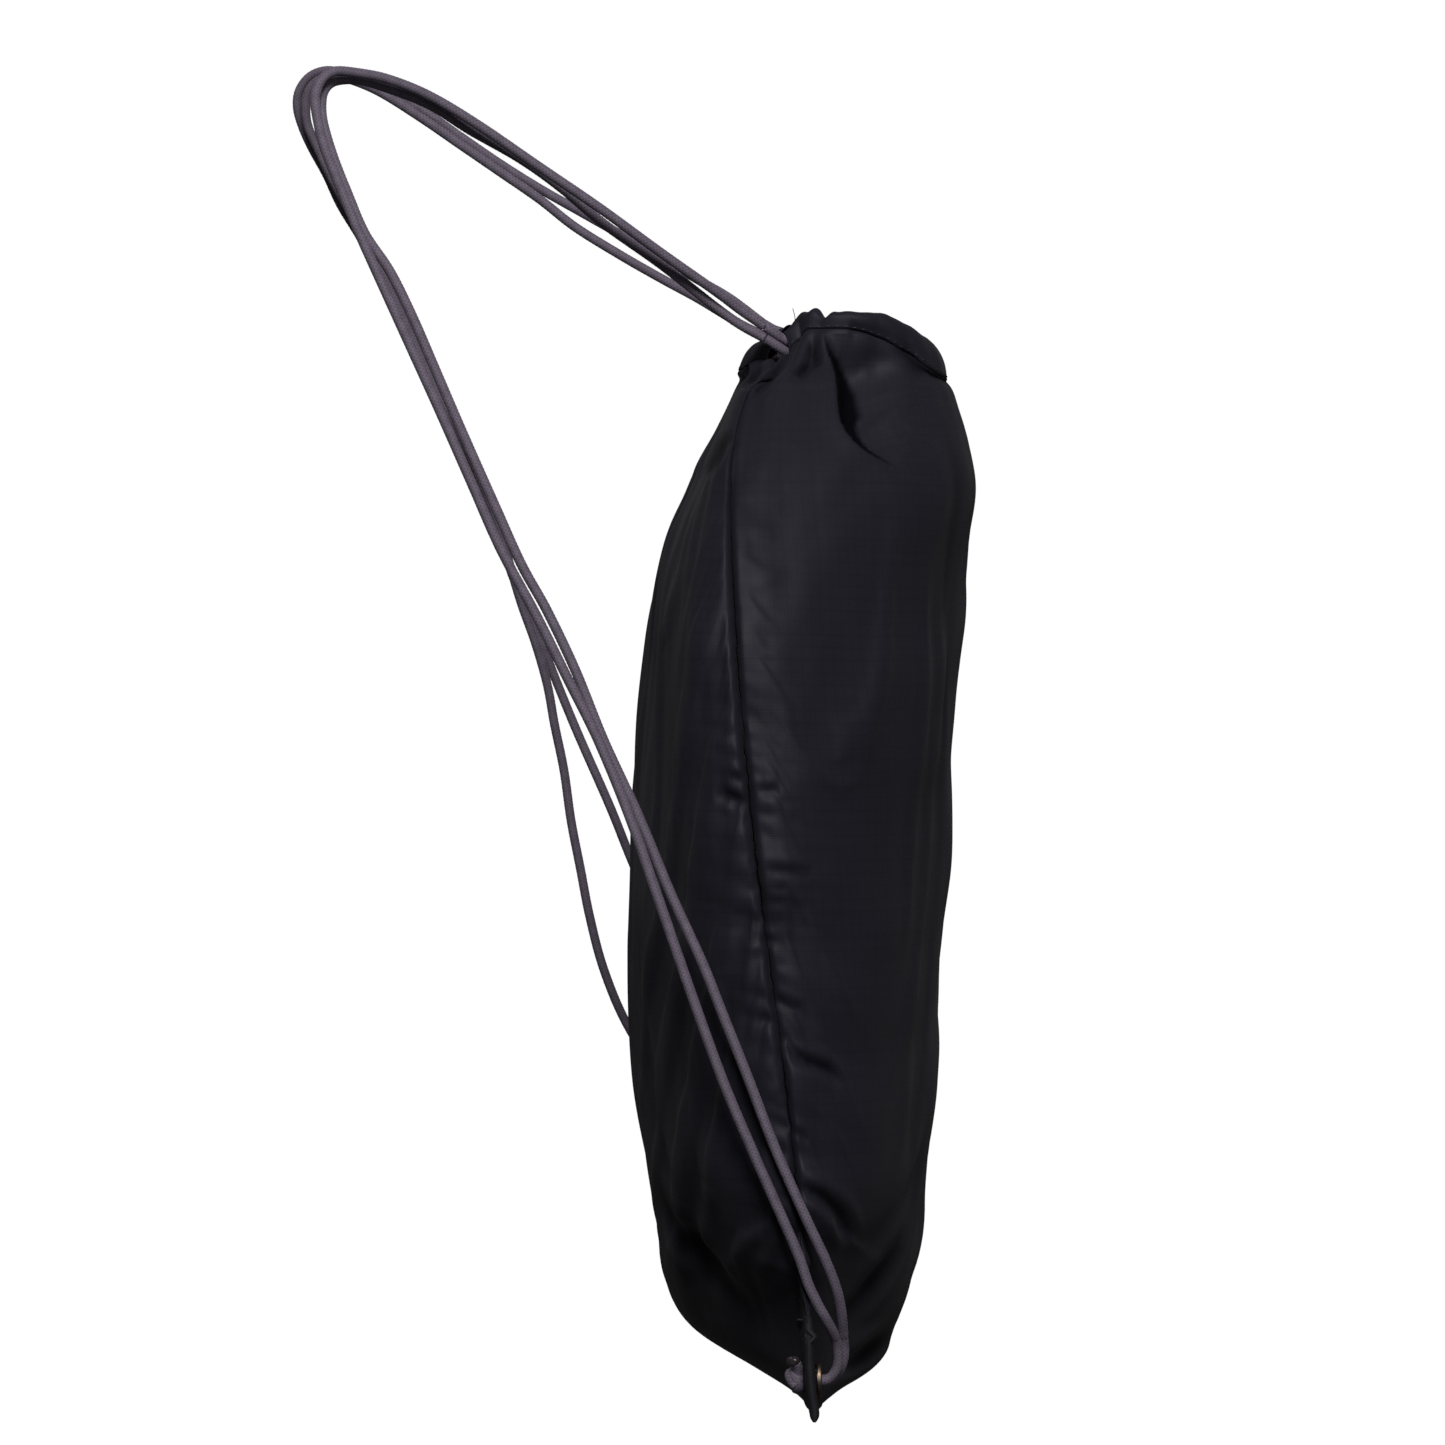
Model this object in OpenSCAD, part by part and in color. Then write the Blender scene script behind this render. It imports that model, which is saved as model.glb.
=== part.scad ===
// Drawstring backpack, stuffed and hanging from its shoulder cords.
// +Z is up, -Y is the outer (front) face, +Y is the wearer's side, and X is the width.
// The origin is the point between the shoulders that the two cord straps hang from.

/* [Bag] */
// Wall of the fabric shell
wall = 1.4; // [1.2:0.1:1.6]
// Steps across each panel, from side seam to side seam
panel_steps = 20; // [12:2:28]
// Steps down each panel for every row of the bag's outline
row_steps = 2; // [1:1:3]

/* [Hem channel] */
// Height of the drawcord channel
channel_h = 14; // [13:0.5:15]
// Thickness of the channel, measured outwards from the mouth
channel_w = 9; // [8.6:0.2:9.4]
// Wall of the channel
channel_wall = 1.2; // [1:0.1:1.3]

/* [Cord] */
// Diameter of the braided cord
cord_d = 4; // [3.6:0.1:4]
// Sides of the cord's tube
cord_sides = 8; // [8:1:12]

/* [Corner eyelets] */
// Inner diameter of the eyelet
eyelet_bore = 9; // [8.8:0.1:9.4]
// Outer diameter of the eyelet's flange
eyelet_flange = 15; // [14:0.5:16]
// Wall of the eyelet's barrel
eyelet_wall = 0.6; // [0.5:0.1:0.7]
// Thickness of the doubled corner tab
tab_t = 3; // [2.6:0.2:3.2]

/* [Stitching] */
// Length of one stitch
stitch_l = 2.6; // [2:0.2:3]
// Thickness of the thread
thread = 0.5; // [0.4:0.1:0.6]

/* [Hidden] */

fabric_colour = [0.09, 0.09, 0.11];
seam_colour = [0.06, 0.06, 0.08];
cord_colour = [0.36, 0.32, 0.38];
thread_colour = [0.14, 0.14, 0.17];
gap = 0.3;

// The stuffed bag's outline, from the mouth down. Each row holds
// [height, back face, front face, side seam, half width].
outline = [
    [-115.5, -176, -244, -190, 45],
    [-131, -165, -255, -176, 84],
    [-164, -149, -263, -168, 126],
    [-205, -133, -260, -167, 147],
    [-262, -127, -256, -170, 155],
    [-336, -123, -253, -176, 157],
    [-410, -126, -248, -186, 160],
    [-467, -133, -242, -191, 162],
    [-492, -140, -237, -193, 156],
    [-509, -152, -231, -194, 143],
    [-521, -168, -223, -195, 124],
    [-528, -183, -209, -196, 98],
    [-531, -193.4, -198.6, -196, 72]
];
rows = len(outline) - 1;

// The oval mouth that the channel is gathered round
mouth_y = -210;
mouth_a = 45.5;
mouth_b = 31.5;
channel_top = -101;
// Where the side seams leave the channel open, as angles round the mouth
exit_angle = 37;
exit_half_gap = 14;

// The doubled corner tabs that carry the eyelets
tab_y = -196;
eyelet_x = 151;
eyelet_z = -516;
tab_outline = [[-167, -532], [-167, -499], [-159, -480], [-112, -500], [-112, -532]];
// The two strands that run from the straps' ends through an eyelet, drawn on the left
tail_outer = [
    [-156.2, -204.9, -502], [-155.3, -205.3, -505], [-154.4, -205.3, -508.5],
    [-153.7, -204.4, -511.9], [-153.2, -202.2, -514.8], [-153.15, -198.9, -516],
    [-153.15, -191.8, -516]
];
tail_inner = [
    [-151.6, -207.4, -502], [-150.9, -207.6, -505], [-150.1, -207.2, -508.5],
    [-149.3, -206, -512], [-148.85, -203.3, -514.9], [-148.85, -199.3, -516],
    [-148.85, -191.8, -516]
];

// Routes of the cord, from the channel's ends and over the shoulders to the eyelets
channel_left_front_end = [
    [-39, -192.5, -110], [-38.5, -188, -109.5], [-39.5, -184.5, -108], [-40.8, -182, -106.4]
];
channel_left_back_end = [
    [-32.5, -187.3, -112.5], [-36.5, -187.8, -114], [-40, -186, -113.5], [-41.9, -182.3, -111.2]
];
channel_right_front_end = [
    [39, -192.5, -106], [38.5, -188, -106.5], [40, -184.5, -105.5], [41.9, -182.3, -104.2]
];
channel_right_back_end = [
    [32.5, -187.3, -103.5], [36.5, -187.8, -102], [39.5, -186, -100.7], [40.6, -182, -99.2]
];
route_left_outer = [
    [-42, -177.6, -103.5], [-45, -168.5, -97.5], [-50, -158, -90], [-57, -136, -75],
    [-64, -112, -58], [-69, -88, -42], [-75, -64, -26], [-80, -45, -15], [-86, -29, -9],
    [-91, -17, -7], [-96, -8, -7], [-99, -3, -11], [-102, -1, -18], [-105, -2, -26],
    [-108, -5, -38], [-111, -11, -53], [-115, -19, -72], [-119, -29, -94], [-123, -40, -118],
    [-127, -51, -142], [-130, -63, -169], [-133, -75, -196], [-137, -89, -222],
    [-141, -101, -246], [-145, -113, -270], [-150, -125, -299], [-155, -136, -330],
    [-160, -150, -370], [-163, -161, -400], [-165, -172, -426], [-166, -184, -453],
    [-166, -190, -467], [-165.7, -193.8, -478], [-165, -197.6, -486],
    [-163.9, -200.1, -490.5], [-161.2, -202.4, -495], [-157.8, -204, -499]
];
route_left_inner = [
    [-43, -177.8, -108.4], [-43.5, -168, -103], [-45, -158, -96], [-48, -136, -79],
    [-53, -113, -63], [-58, -96, -49], [-63, -80, -38], [-68, -60, -27], [-74, -45, -18],
    [-79, -29, -12], [-84, -17, -9], [-89, -8, -10], [-93, -4, -14], [-95, -3, -20],
    [-98, -4, -28], [-101, -8, -41], [-105, -14, -56], [-109, -21, -72], [-113, -31, -87],
    [-117, -40, -105], [-120, -50, -128], [-124, -60, -151], [-129, -73, -180],
    [-132, -83, -202], [-134, -93, -220], [-137, -104, -243], [-141, -115, -270],
    [-146, -128, -298], [-151, -141, -329], [-156, -153, -355], [-159, -161, -375],
    [-162, -171, -400], [-164, -181, -426], [-166, -193, -453], [-165, -200, -468],
    [-162, -204.5, -480], [-158, -206.5, -490], [-152.8, -207.2, -499]
];
route_right_outer = [
    [41.8, -177.6, -96.5], [46, -164, -86], [51, -151, -78], [56, -135, -68], [61, -118, -58],
    [66, -101, -48], [71, -84, -38], [76, -67, -27], [81, -50, -15], [86, -33, -3],
    [90, -16, 6], [94, -3, 12], [98, 7, 15], [101, 15, 13], [103, 20, 7], [105, 21, 0],
    [108, 19, -8], [110, 15, -17], [112, 9, -28], [115, 3, -41], [117, -6, -56],
    [119, -16, -76], [122, -26, -100], [125, -37, -122], [128, -48, -142], [131, -58, -163],
    [133, -64, -180], [136, -69, -197], [139, -75, -212], [141, -82, -228], [144, -89, -246],
    [146, -98, -268], [149, -112, -300], [152, -122, -325], [157, -137, -360],
    [162, -153, -394], [165, -170, -429], [166, -186, -450], [165, -198, -468],
    [162, -204, -480], [158, -206.5, -490], [152.8, -207.2, -499]
];
route_right_inner = [
    [43.2, -178, -101.6], [46, -168, -96.5], [49, -151, -86], [53, -135, -77], [57, -118, -67],
    [60, -99, -55], [64, -84, -43], [68, -67, -31], [73, -50, -19], [78, -33, -7],
    [83, -16, 4], [88, -3, 10], [92, 5, 12], [95, 12, 10], [97, 16, 5], [99, 17, -2],
    [101, 16, -9], [103, 12, -18], [105, 7, -29], [108, 0, -42], [110, -8, -57],
    [113, -18, -77], [116, -29, -101], [118, -40, -124], [121, -50, -143], [124, -59, -164],
    [126, -65, -180], [129, -69, -195], [132, -74, -212], [134, -80, -229], [137, -85, -247],
    [140, -88, -264], [144, -92, -284], [148, -95, -306], [151, -99, -327], [154, -103, -348],
    [158, -109, -371], [161, -119, -395], [163, -135, -420], [165, -155, -444],
    [166, -172, -462], [166, -185, -474], [165.7, -193, -482], [164.8, -198.3, -488],
    [163.9, -200.2, -491], [161.2, -202.4, -495], [157.8, -204, -499]
];

// ---- Curves ----

// A smooth curve through the rows a, b, c, d, between b and c
function blend_rows(a, b, c, d, t) =
    0.5 * (2 * b + (c - a) * t + (2 * a - 5 * b + 4 * c - d) * t * t
           + (3 * b - a - 3 * c + d) * t * t * t);

// The bag's outline at a place down its height, from 0 at the mouth to rows at the base
function outline_at(s) =
    let (i = min(floor(s), rows - 1))
    blend_rows(outline[max(i - 1, 0)], outline[i], outline[i + 1],
               outline[min(i + 2, rows)], s - i);

levels = [for (k = [0 : rows * row_steps]) outline_at(k / row_steps)];

// One point of a panel: side is -1 for the front and 1 for the back
function panel_point(level, side, angle, inset) =
    let (face = side > 0 ? level[1] : level[2])
    [-(level[4] - inset) * cos(angle),
     level[3] + side * max(abs(face - level[3]) - inset, 0) * sin(angle),
     level[0]];

function mouth_point(angle, out, z) =
    [(mouth_a + out) * cos(angle), mouth_y + (mouth_b + out) * sin(angle), z];

function unit(v) = v / norm(v);

// The direction of a route at its point i
function heading(route, i) =
    unit(route[min(i + 1, len(route) - 1)] - route[max(i - 1, 0)]);

// Sideways directions carried along a route without twisting
function carried(route, i = 0, last = [1, 0, 0]) =
    i == len(route) ? [] :
    let (h = heading(route, i), side = unit(last - (last * h) * h))
    concat([side], carried(route, i + 1, side));

// ---- Building blocks ----

// Triangles for a grid of points that has the given rows and columns
function grid_faces(n, m, start, flip) = [
    for (i = [0 : n - 2], j = [0 : m - 2])
    let (a = start + i * m + j, b = a + 1, c = a + m + 1, d = a + m)
    each flip ? [[a, b, c], [a, c, d]] : [[a, c, b], [a, d, c]]
];

// Triangles for the rim that joins the edges of two such grids
function rim_faces(a, b, flip) = [
    for (i = [0 : len(a) - 2])
    each flip ? [[a[i], b[i], b[i + 1]], [a[i], b[i + 1], a[i + 1]]]
              : [[a[i], b[i + 1], b[i]], [a[i], a[i + 1], b[i + 1]]]
];

// A sheet with thickness, between an outer and an inner grid of points
module thick_sheet(outer, inner, flip) {
    n = len(outer);
    m = len(outer[0]);
    s = n * m;
    function index(i, j) = i * m + j;
    edge = concat(
        [for (j = [0 : m - 1]) index(0, j)],
        [for (i = [1 : n - 1]) index(i, m - 1)],
        [for (j = [m - 2 : -1 : 0]) index(n - 1, j)],
        [for (i = [n - 2 : -1 : 0]) index(i, 0)]
    );
    polyhedron(
        [for (line = concat(outer, inner), p = line) p],
        concat(
            grid_faces(n, m, 0, flip),
            grid_faces(n, m, s, !flip),
            rim_faces(edge, [for (k = edge) k + s], flip)
        )
    );
}

// A solid swept through rings of points that all have the same count
module swept(rings) {
    m = len(rings[0]);
    last = (len(rings) - 1) * m;
    polyhedron(
        [for (ring = rings, p = ring) p],
        concat(
            [for (i = [0 : len(rings) - 2], j = [0 : m - 1])
                let (a = i * m + j, b = i * m + (j + 1) % m)
                each [[a, b, b + m], [a, b + m, a + m]]],
            [[for (j = [m - 1 : -1 : 0]) j], [for (j = [0 : m - 1]) last + j]]
        )
    );
}

// A plain tube of the cord's diameter along a route
module cord(route) {
    sides = carried(route);
    swept([for (i = [0 : len(route) - 1])
        let (h = heading(route, i), u = sides[i], v = cross(h, u))
        [for (k = [0 : cord_sides - 1])
            let (a = -360 * k / cord_sides)
            route[i] + cord_d / 2 * (cos(a) * u + sin(a) * v)]]);
}

module mirrored_if(right) {
    if (right) mirror([1, 0, 0]) children();
    else children();
}

// ---- Fabric ----

module panel(side) {
    angles = [for (j = [0 : panel_steps]) 180 * j / panel_steps];
    color(fabric_colour)
        thick_sheet(
            [for (level = levels) [for (a = angles) panel_point(level, side, a, 0)]],
            [for (level = levels) [for (a = angles) panel_point(level, side, a, wall)]],
            side > 0
        );
}

// A slice of the channel between two angles, with the given inset all round
module channel_slice(from, to, inset) {
    steps = ceil((to - from) / 9);
    half = channel_w / 2 - inset;
    high = channel_top - inset;
    low = channel_top - channel_h + inset;
    swept([for (i = [0 : steps])
        let (a = from + (to - from) * i / steps)
        [mouth_point(a, half, high), mouth_point(a, -half, high),
         mouth_point(a, -half, low), mouth_point(a, half, low)]]);
}

module channel(from, to) {
    color(fabric_colour)
        difference() {
            channel_slice(from, to, 0);
            channel_slice(from - 1, to + 1, channel_wall);
        }
}

// The turned-in edges of both panels along one side seam, inside the bag
module side_seam(right) {
    allowance = 10;
    half_t = 0.8;
    first = 4;
    last = 9 * row_steps;
    mirrored_if(right) color(seam_colour)
        swept([for (k = [first : last])
            let (level = levels[k], x = -(level[4] - wall - gap), y = level[3], z = level[0])
            [[x, y - half_t, z], [x, y + half_t, z],
             [x + allowance, y + half_t, z], [x + allowance, y - half_t, z]]]);
}

// The turned-in edges along the bottom, which close the slot between the panels
module bottom_seam() {
    length = 110;
    seam_t = 1.6;
    height = 11;
    color(seam_colour)
        translate([-length / 2, tab_y - seam_t / 2, outline[rows][0]])
            cube([length, seam_t, height]);
}

module corner_tab(right) {
    side = [for (k = [0 : 40]) outline_at(rows - 6 + 6 * k / 40)];
    mirrored_if(right) color(fabric_colour)
        translate([0, tab_y + tab_t / 2, 0]) rotate([90, 0, 0])
            linear_extrude(tab_t)
                difference() {
                    polygon(tab_outline);
                    polygon(concat(
                        [for (level = side) [-(level[4] + gap), level[0] - gap]],
                        [[0, -533], [0, side[0][0]]]
                    ));
                    translate([-eyelet_x, eyelet_z])
                        circle(d = eyelet_bore + 2 * eyelet_wall + 0.4, $fn = 48);
                }
}

// ---- Eyelets ----

// Turns a profile drawn as [radius, distance towards the back] about the eyelet's axis
module turned(right) {
    mirrored_if(right)
        translate([-eyelet_x, tab_y, eyelet_z]) rotate([-90, 0, 0])
            rotate_extrude($fn = 64) children();
}

module eyelet(right) {
    r = eyelet_bore / 2;
    face = tab_t / 2;
    color("silver") turned(right)
        union() {
            translate([r, -face - 0.9]) square([eyelet_wall, tab_t + 2.1]);
            translate([r, -face - 0.9]) square([eyelet_flange / 2 - r, 0.9]);
            translate([r + 1.4, -face - 0.9]) circle(r = 0.6, $fn = 24);
        }
}

module eyelet_washer(right) {
    face = tab_t / 2;
    inner = eyelet_bore / 2 + eyelet_wall + 0.1;
    color("silver") turned(right)
        translate([inner, face]) square([eyelet_flange / 2 - inner, 0.8]);
}

// ---- Cord ----

function mouth_arc(from, to, z) =
    let (steps = 22)
    [for (i = [0 : steps]) mouth_point(from + (to - from) * i / steps, 0, z)];

function reversed(list) = [for (i = [len(list) - 1 : -1 : 0]) list[i]];

// Each cord runs all the way round the mouth and leaves by the opening it came in at
channel_left_route = concat(
    reversed(channel_left_front_end),
    mouth_arc(180 - exit_angle + exit_half_gap, 540 - exit_angle - exit_half_gap, -111),
    channel_left_back_end
);
channel_right_route = concat(
    reversed(channel_right_front_end),
    mouth_arc(exit_angle - exit_half_gap, exit_angle + exit_half_gap - 360, -105),
    channel_right_back_end
);

module cord_piece(route) {
    color(cord_colour) cord(route);
}

// The two strands that pass through an eyelet
module cord_tails(right) {
    mirrored_if(right) color(cord_colour)
        for (route = [tail_outer, tail_inner]) cord(route);
}

// The stopper knot behind the eyelet: two wraps of cord round the strands
module knot(right) {
    wrap_r = 3.6;
    y = -191.7;
    mirrored_if(right) color(cord_colour)
        translate([-eyelet_x, y, eyelet_z]) rotate([-90, 0, 0])
            rotate_extrude($fn = 48)
                union() {
                    square([wrap_r, 1.5 * cord_d]);
                    translate([wrap_r, cord_d / 2]) circle(d = cord_d, $fn = 24);
                    translate([wrap_r - 1.4, cord_d * 1.2]) circle(d = cord_d, $fn = 24);
                }
}

// The two cut ends that stand up beside the knot, with heat-sealed tips
module cord_ends(right) {
    mirrored_if(right) color([0.16, 0.14, 0.15])
        for (end = [[-154.6, -14], [-149, -4]])
            translate([end[0], -187.6, eyelet_z + 3.7]) rotate([0, end[1], 0])
                rotate([-30, 0, 0]) union() {
                    translate([0, 0, 3.8]) cylinder(d = cord_d, h = 2.6, $fn = 24);
                    translate([0, 0, 6.4]) sphere(d = cord_d + 0.3, $fn = 24);
                }
}

// ---- Stitching ----

module stitch(size) {
    cube(size, center = true);
}

module channel_stitching(from, to) {
    out = channel_w / 2 + thread / 2 + 0.05;
    pitch = 5;
    color(thread_colour)
        for (a = [from + 4 : pitch : to - 4])
            translate(mouth_point(a, out, channel_top - channel_h + 2.5))
                rotate([0, 0, atan2((mouth_b + out) * cos(a), -(mouth_a + out) * sin(a))])
                    stitch([stitch_l, thread, thread]);
}

module corner_stitching(right) {
    out = tab_t / 2 + thread / 2 + 0.02;
    mirrored_if(right) color(thread_colour)
        for (face = [-1, 1]) translate([0, tab_y + face * out, 0]) {
            for (z = [-528 : 4 : -500])
                translate([-164.4, 0, z]) stitch([thread, thread, stitch_l]);
            for (x = [-161 : 4 : -129])
                translate([x, 0, -529.6]) stitch([stitch_l, thread, thread]);
        }
}

front_from = 180 - exit_angle + exit_half_gap;
front_to = 360 + exit_angle - exit_half_gap;
back_from = exit_angle + exit_half_gap;
back_to = 180 - exit_angle - exit_half_gap;

panel(-1);  // front_panel
panel(1);  // back_panel
channel(front_from, front_to);  // front_channel
channel(back_from, back_to);  // back_channel
side_seam(false);  // side_seam_left
side_seam(true);  // side_seam_right
bottom_seam();
corner_tab(false);  // corner_tab_left
corner_tab(true);  // corner_tab_right
eyelet(false);  // eyelet_left
eyelet(true);  // eyelet_right
eyelet_washer(false);  // eyelet_washer_left
eyelet_washer(true);  // eyelet_washer_right
cord_piece(channel_left_route);  // channel_cord_left
cord_piece(channel_right_route);  // channel_cord_right
cord_piece(route_left_outer);  // strap_cord_left_outer
cord_piece(route_left_inner);  // strap_cord_left_inner
cord_piece(route_right_outer);  // strap_cord_right_outer
cord_piece(route_right_inner);  // strap_cord_right_inner
cord_tails(false);  // cord_tails_left
cord_tails(true);  // cord_tails_right
knot(false);  // knot_left
knot(true);  // knot_right
cord_ends(false);  // cord_ends_left
cord_ends(true);  // cord_ends_right
channel_stitching(front_from, front_to);  // front_channel_stitching
channel_stitching(back_from, back_to);  // back_channel_stitching
corner_stitching(false);  // corner_stitching_left
corner_stitching(true);  // corner_stitching_right
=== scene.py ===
import math

import bpy
import numpy as np
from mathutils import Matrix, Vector
from mathutils.bvhtree import BVHTree


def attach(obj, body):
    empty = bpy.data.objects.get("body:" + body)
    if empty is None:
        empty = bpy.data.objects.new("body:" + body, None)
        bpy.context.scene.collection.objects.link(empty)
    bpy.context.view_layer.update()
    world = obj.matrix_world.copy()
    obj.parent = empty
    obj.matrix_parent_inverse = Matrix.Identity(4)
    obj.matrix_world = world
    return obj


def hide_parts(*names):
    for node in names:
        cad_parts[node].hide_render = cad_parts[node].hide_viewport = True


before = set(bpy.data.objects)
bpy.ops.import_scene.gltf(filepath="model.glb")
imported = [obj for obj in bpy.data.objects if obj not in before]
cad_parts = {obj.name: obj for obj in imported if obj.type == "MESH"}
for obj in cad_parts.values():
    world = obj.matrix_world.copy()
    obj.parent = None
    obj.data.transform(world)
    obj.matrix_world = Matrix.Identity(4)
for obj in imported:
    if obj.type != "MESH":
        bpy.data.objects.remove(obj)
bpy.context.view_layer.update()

# The looks of a stuffed drawstring backpack. Metres; +Z is up, -Y is the front panel's side,
# +Y is the wearer's side, and +X runs across the width.


def metres(rows):
    """The long lists of places are written in mm, as in the CAD model."""
    return [tuple(value / 1000 for value in row) for row in rows]


# ---- Sizes ----

CORD_D = 0.004          # braided cord
BRAID_TURNS = 6         # strands each way round the cord
BRAID_PITCH = 0.0016    # how far apart the crossings are along it
CLOTH_T = 0.0004        # the nylon, modelled a little thicker than real
FLAT_CUT = (0.36, 0.46) # each panel before it was gathered
EYELET = (0.151, -0.196, -0.516)  # centre of the right eyelet; the left one mirrors it

# The stuffed bag from the mouth down:
# height, back face, front face, side seam, half width.
OUTLINE = np.array(metres([
    (-115.5, -171, -249.5, -186, 56), (-131, -164.5, -256.5, -171.5, 76),
    (-164, -149, -263.5, -164.5, 111), (-205, -134.5, -260, -164.5, 138),
    (-262, -128, -254.5, -168, 153), (-336, -123, -251, -176, 157),
    (-410, -125.5, -246, -186, 160), (-467, -133, -242, -191, 162),
    (-492, -137.5, -237.5, -193, 156), (-509, -147.5, -232, -194, 143),
    (-521, -168.5, -225.5, -195, 124), (-528, -185.5, -212.5, -196, 98),
    (-531, -193, -199, -196, 72),
]))

# The oval that the hem channel is gathered round, and the places of the cords' exits
MOUTH_Y = -0.210
MOUTH_A = 0.0455
MOUTH_B = 0.0315
EXIT_ANGLE = 37
EXIT_HALF_GAP = 14

# ---- Routes of the cords, as in the CAD model ----

ROUTE_LEFT_OUTER = metres([
    (-42, -177.6, -103.5), (-45, -168.5, -97.5), (-50, -158, -90), (-57, -136, -75), (-64, -112, -58),
    (-69, -88, -42), (-75, -64, -26), (-80, -45, -15), (-86, -29, -9), (-91, -17, -7), (-96, -8, -7),
    (-99, -3, -11), (-102, -1, -18), (-105, -2, -26), (-108, -5, -38), (-111, -11, -53),
    (-115, -19, -72), (-119, -29, -94), (-123, -40, -118), (-127, -51, -142), (-130, -63, -169),
    (-133, -75, -196), (-137, -89, -222), (-141, -101, -246), (-145, -113, -270), (-150, -125, -299),
    (-155, -136, -330), (-160, -150, -370), (-163, -161, -400), (-165, -172, -426), (-166, -184, -453),
    (-166, -190, -467), (-165.7, -193.8, -478), (-165, -197.6, -486), (-163.9, -200.1, -490.5),
    (-161.2, -202.4, -495), (-157.8, -204, -499),
])
ROUTE_LEFT_INNER = metres([
    (-43, -177.8, -108.4), (-43.5, -168, -103), (-45, -158, -96), (-48, -136, -79), (-53, -113, -63),
    (-58, -96, -49), (-63, -80, -38), (-68, -60, -27), (-74, -45, -18), (-79, -29, -12), (-84, -17, -9),
    (-89, -8, -10), (-93, -4, -14), (-95, -3, -20), (-98, -4, -28), (-101, -8, -41), (-105, -14, -56),
    (-109, -21, -72), (-113, -31, -87), (-117, -40, -105), (-120, -50, -128), (-124, -60, -151),
    (-129, -73, -180), (-132, -83, -202), (-134, -93, -220), (-137, -104, -243), (-141, -115, -270),
    (-146, -128, -298), (-151, -141, -329), (-156, -153, -355), (-159, -161, -375), (-162, -171, -400),
    (-164, -181, -426), (-166, -193, -453), (-165, -200, -468), (-162, -204.5, -480),
    (-158, -206.5, -490), (-152.8, -207.2, -499),
])
ROUTE_RIGHT_OUTER = metres([
    (41.8, -177.6, -96.5), (46, -164, -86), (51, -151, -78), (56, -135, -68), (61, -118, -58),
    (66, -101, -48), (71, -84, -38), (76, -67, -27), (81, -50, -15), (86, -33, -3), (90, -16, 6),
    (94, -3, 12), (98, 7, 15), (101, 15, 13), (103, 20, 7), (105, 21, 0), (108, 19, -8), (110, 15, -17),
    (112, 9, -28), (115, 3, -41), (117, -6, -56), (119, -16, -76), (122, -26, -100), (125, -37, -122),
    (128, -48, -142), (131, -58, -163), (133, -64, -180), (136, -69, -197), (139, -75, -212),
    (141, -82, -228), (144, -89, -246), (146, -98, -268), (149, -112, -300), (152, -122, -325),
    (157, -137, -360), (162, -153, -394), (165, -170, -429), (166, -186, -450), (165, -198, -468),
    (162, -204, -480), (158, -206.5, -490), (152.8, -207.2, -499),
])
ROUTE_RIGHT_INNER = metres([
    (43.2, -178, -101.6), (46, -168, -96.5), (49, -151, -86), (53, -135, -77), (57, -118, -67),
    (60, -99, -55), (64, -84, -43), (68, -67, -31), (73, -50, -19), (78, -33, -7), (83, -16, 4),
    (88, -3, 10), (92, 5, 12), (95, 12, 10), (97, 16, 5), (99, 17, -2), (101, 16, -9), (103, 12, -18),
    (105, 7, -29), (108, 0, -42), (110, -8, -57), (113, -18, -77), (116, -29, -101), (118, -40, -124),
    (121, -50, -143), (124, -59, -164), (126, -65, -180), (129, -69, -195), (132, -74, -212),
    (134, -80, -229), (137, -85, -247), (140, -88, -264), (144, -92, -284), (148, -95, -306),
    (151, -99, -327), (154, -103, -348), (158, -109, -371), (161, -119, -395), (163, -135, -420),
    (165, -155, -444), (166, -172, -462), (166, -185, -474), (165.7, -193, -482), (164.8, -198.3, -488),
    (163.9, -200.2, -491), (161.2, -202.4, -495), (157.8, -204, -499),
])
TAIL_OUTER = metres([
    (-159.5, -203.3, -497.1), (-157.8, -204, -499), (-156.2, -204.9, -502), (-155.3, -205.3, -505),
    (-154.4, -205.3, -508.5), (-153.7, -204.4, -511.9), (-153.2, -202.2, -514.8),
    (-153.15, -198.9, -516), (-153.15, -191.8, -516),
])
TAIL_INNER = metres([
    (-154.1, -207.1, -496.8), (-152.8, -207.2, -499), (-151.6, -207.4, -502), (-150.9, -207.6, -505),
    (-150.1, -207.2, -508.5), (-149.3, -206, -512), (-148.85, -203.3, -514.9), (-148.85, -199.3, -516),
    (-148.85, -191.8, -516),
])
CHANNEL_LEFT_FRONT_END = metres([
    (-39, -192.5, -110), (-38.5, -188, -109.5), (-39.5, -184.5, -108), (-40.8, -182, -106.4),
    (-41.9, -178.2, -103.9),
])
CHANNEL_LEFT_BACK_END = metres([
    (-32.5, -187.3, -112.5), (-36.5, -187.8, -114), (-40, -186, -113.5), (-41.9, -182.3, -111.2),
    (-42.9, -178.4, -108.8),
])
CHANNEL_RIGHT_FRONT_END = metres([
    (39, -192.5, -106), (38.5, -188, -106.5), (40, -184.5, -105.5), (41.9, -182.3, -104.2),
    (43.1, -178.6, -102),
])
CHANNEL_RIGHT_BACK_END = metres([
    (32.5, -187.3, -103.5), (36.5, -187.8, -102), (39.5, -186, -100.7), (40.6, -182, -99.2),
    (41.7, -178.2, -96.9),
])


# ---- Small helpers ----

def smooth(x, low, high):
    """0 below low, 1 above high, and a smooth step between."""
    t = np.clip((np.asarray(x, float) - low) / (high - low), 0, 1)
    return t * t * (3 - 2 * t)


def mixed(a, b, t):
    return a + (b - a) * t


def bell(x):
    return np.exp(-np.square(x))


def unit(v):
    return v / np.maximum(np.linalg.norm(v, axis=-1, keepdims=True), 1e-12)


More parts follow.
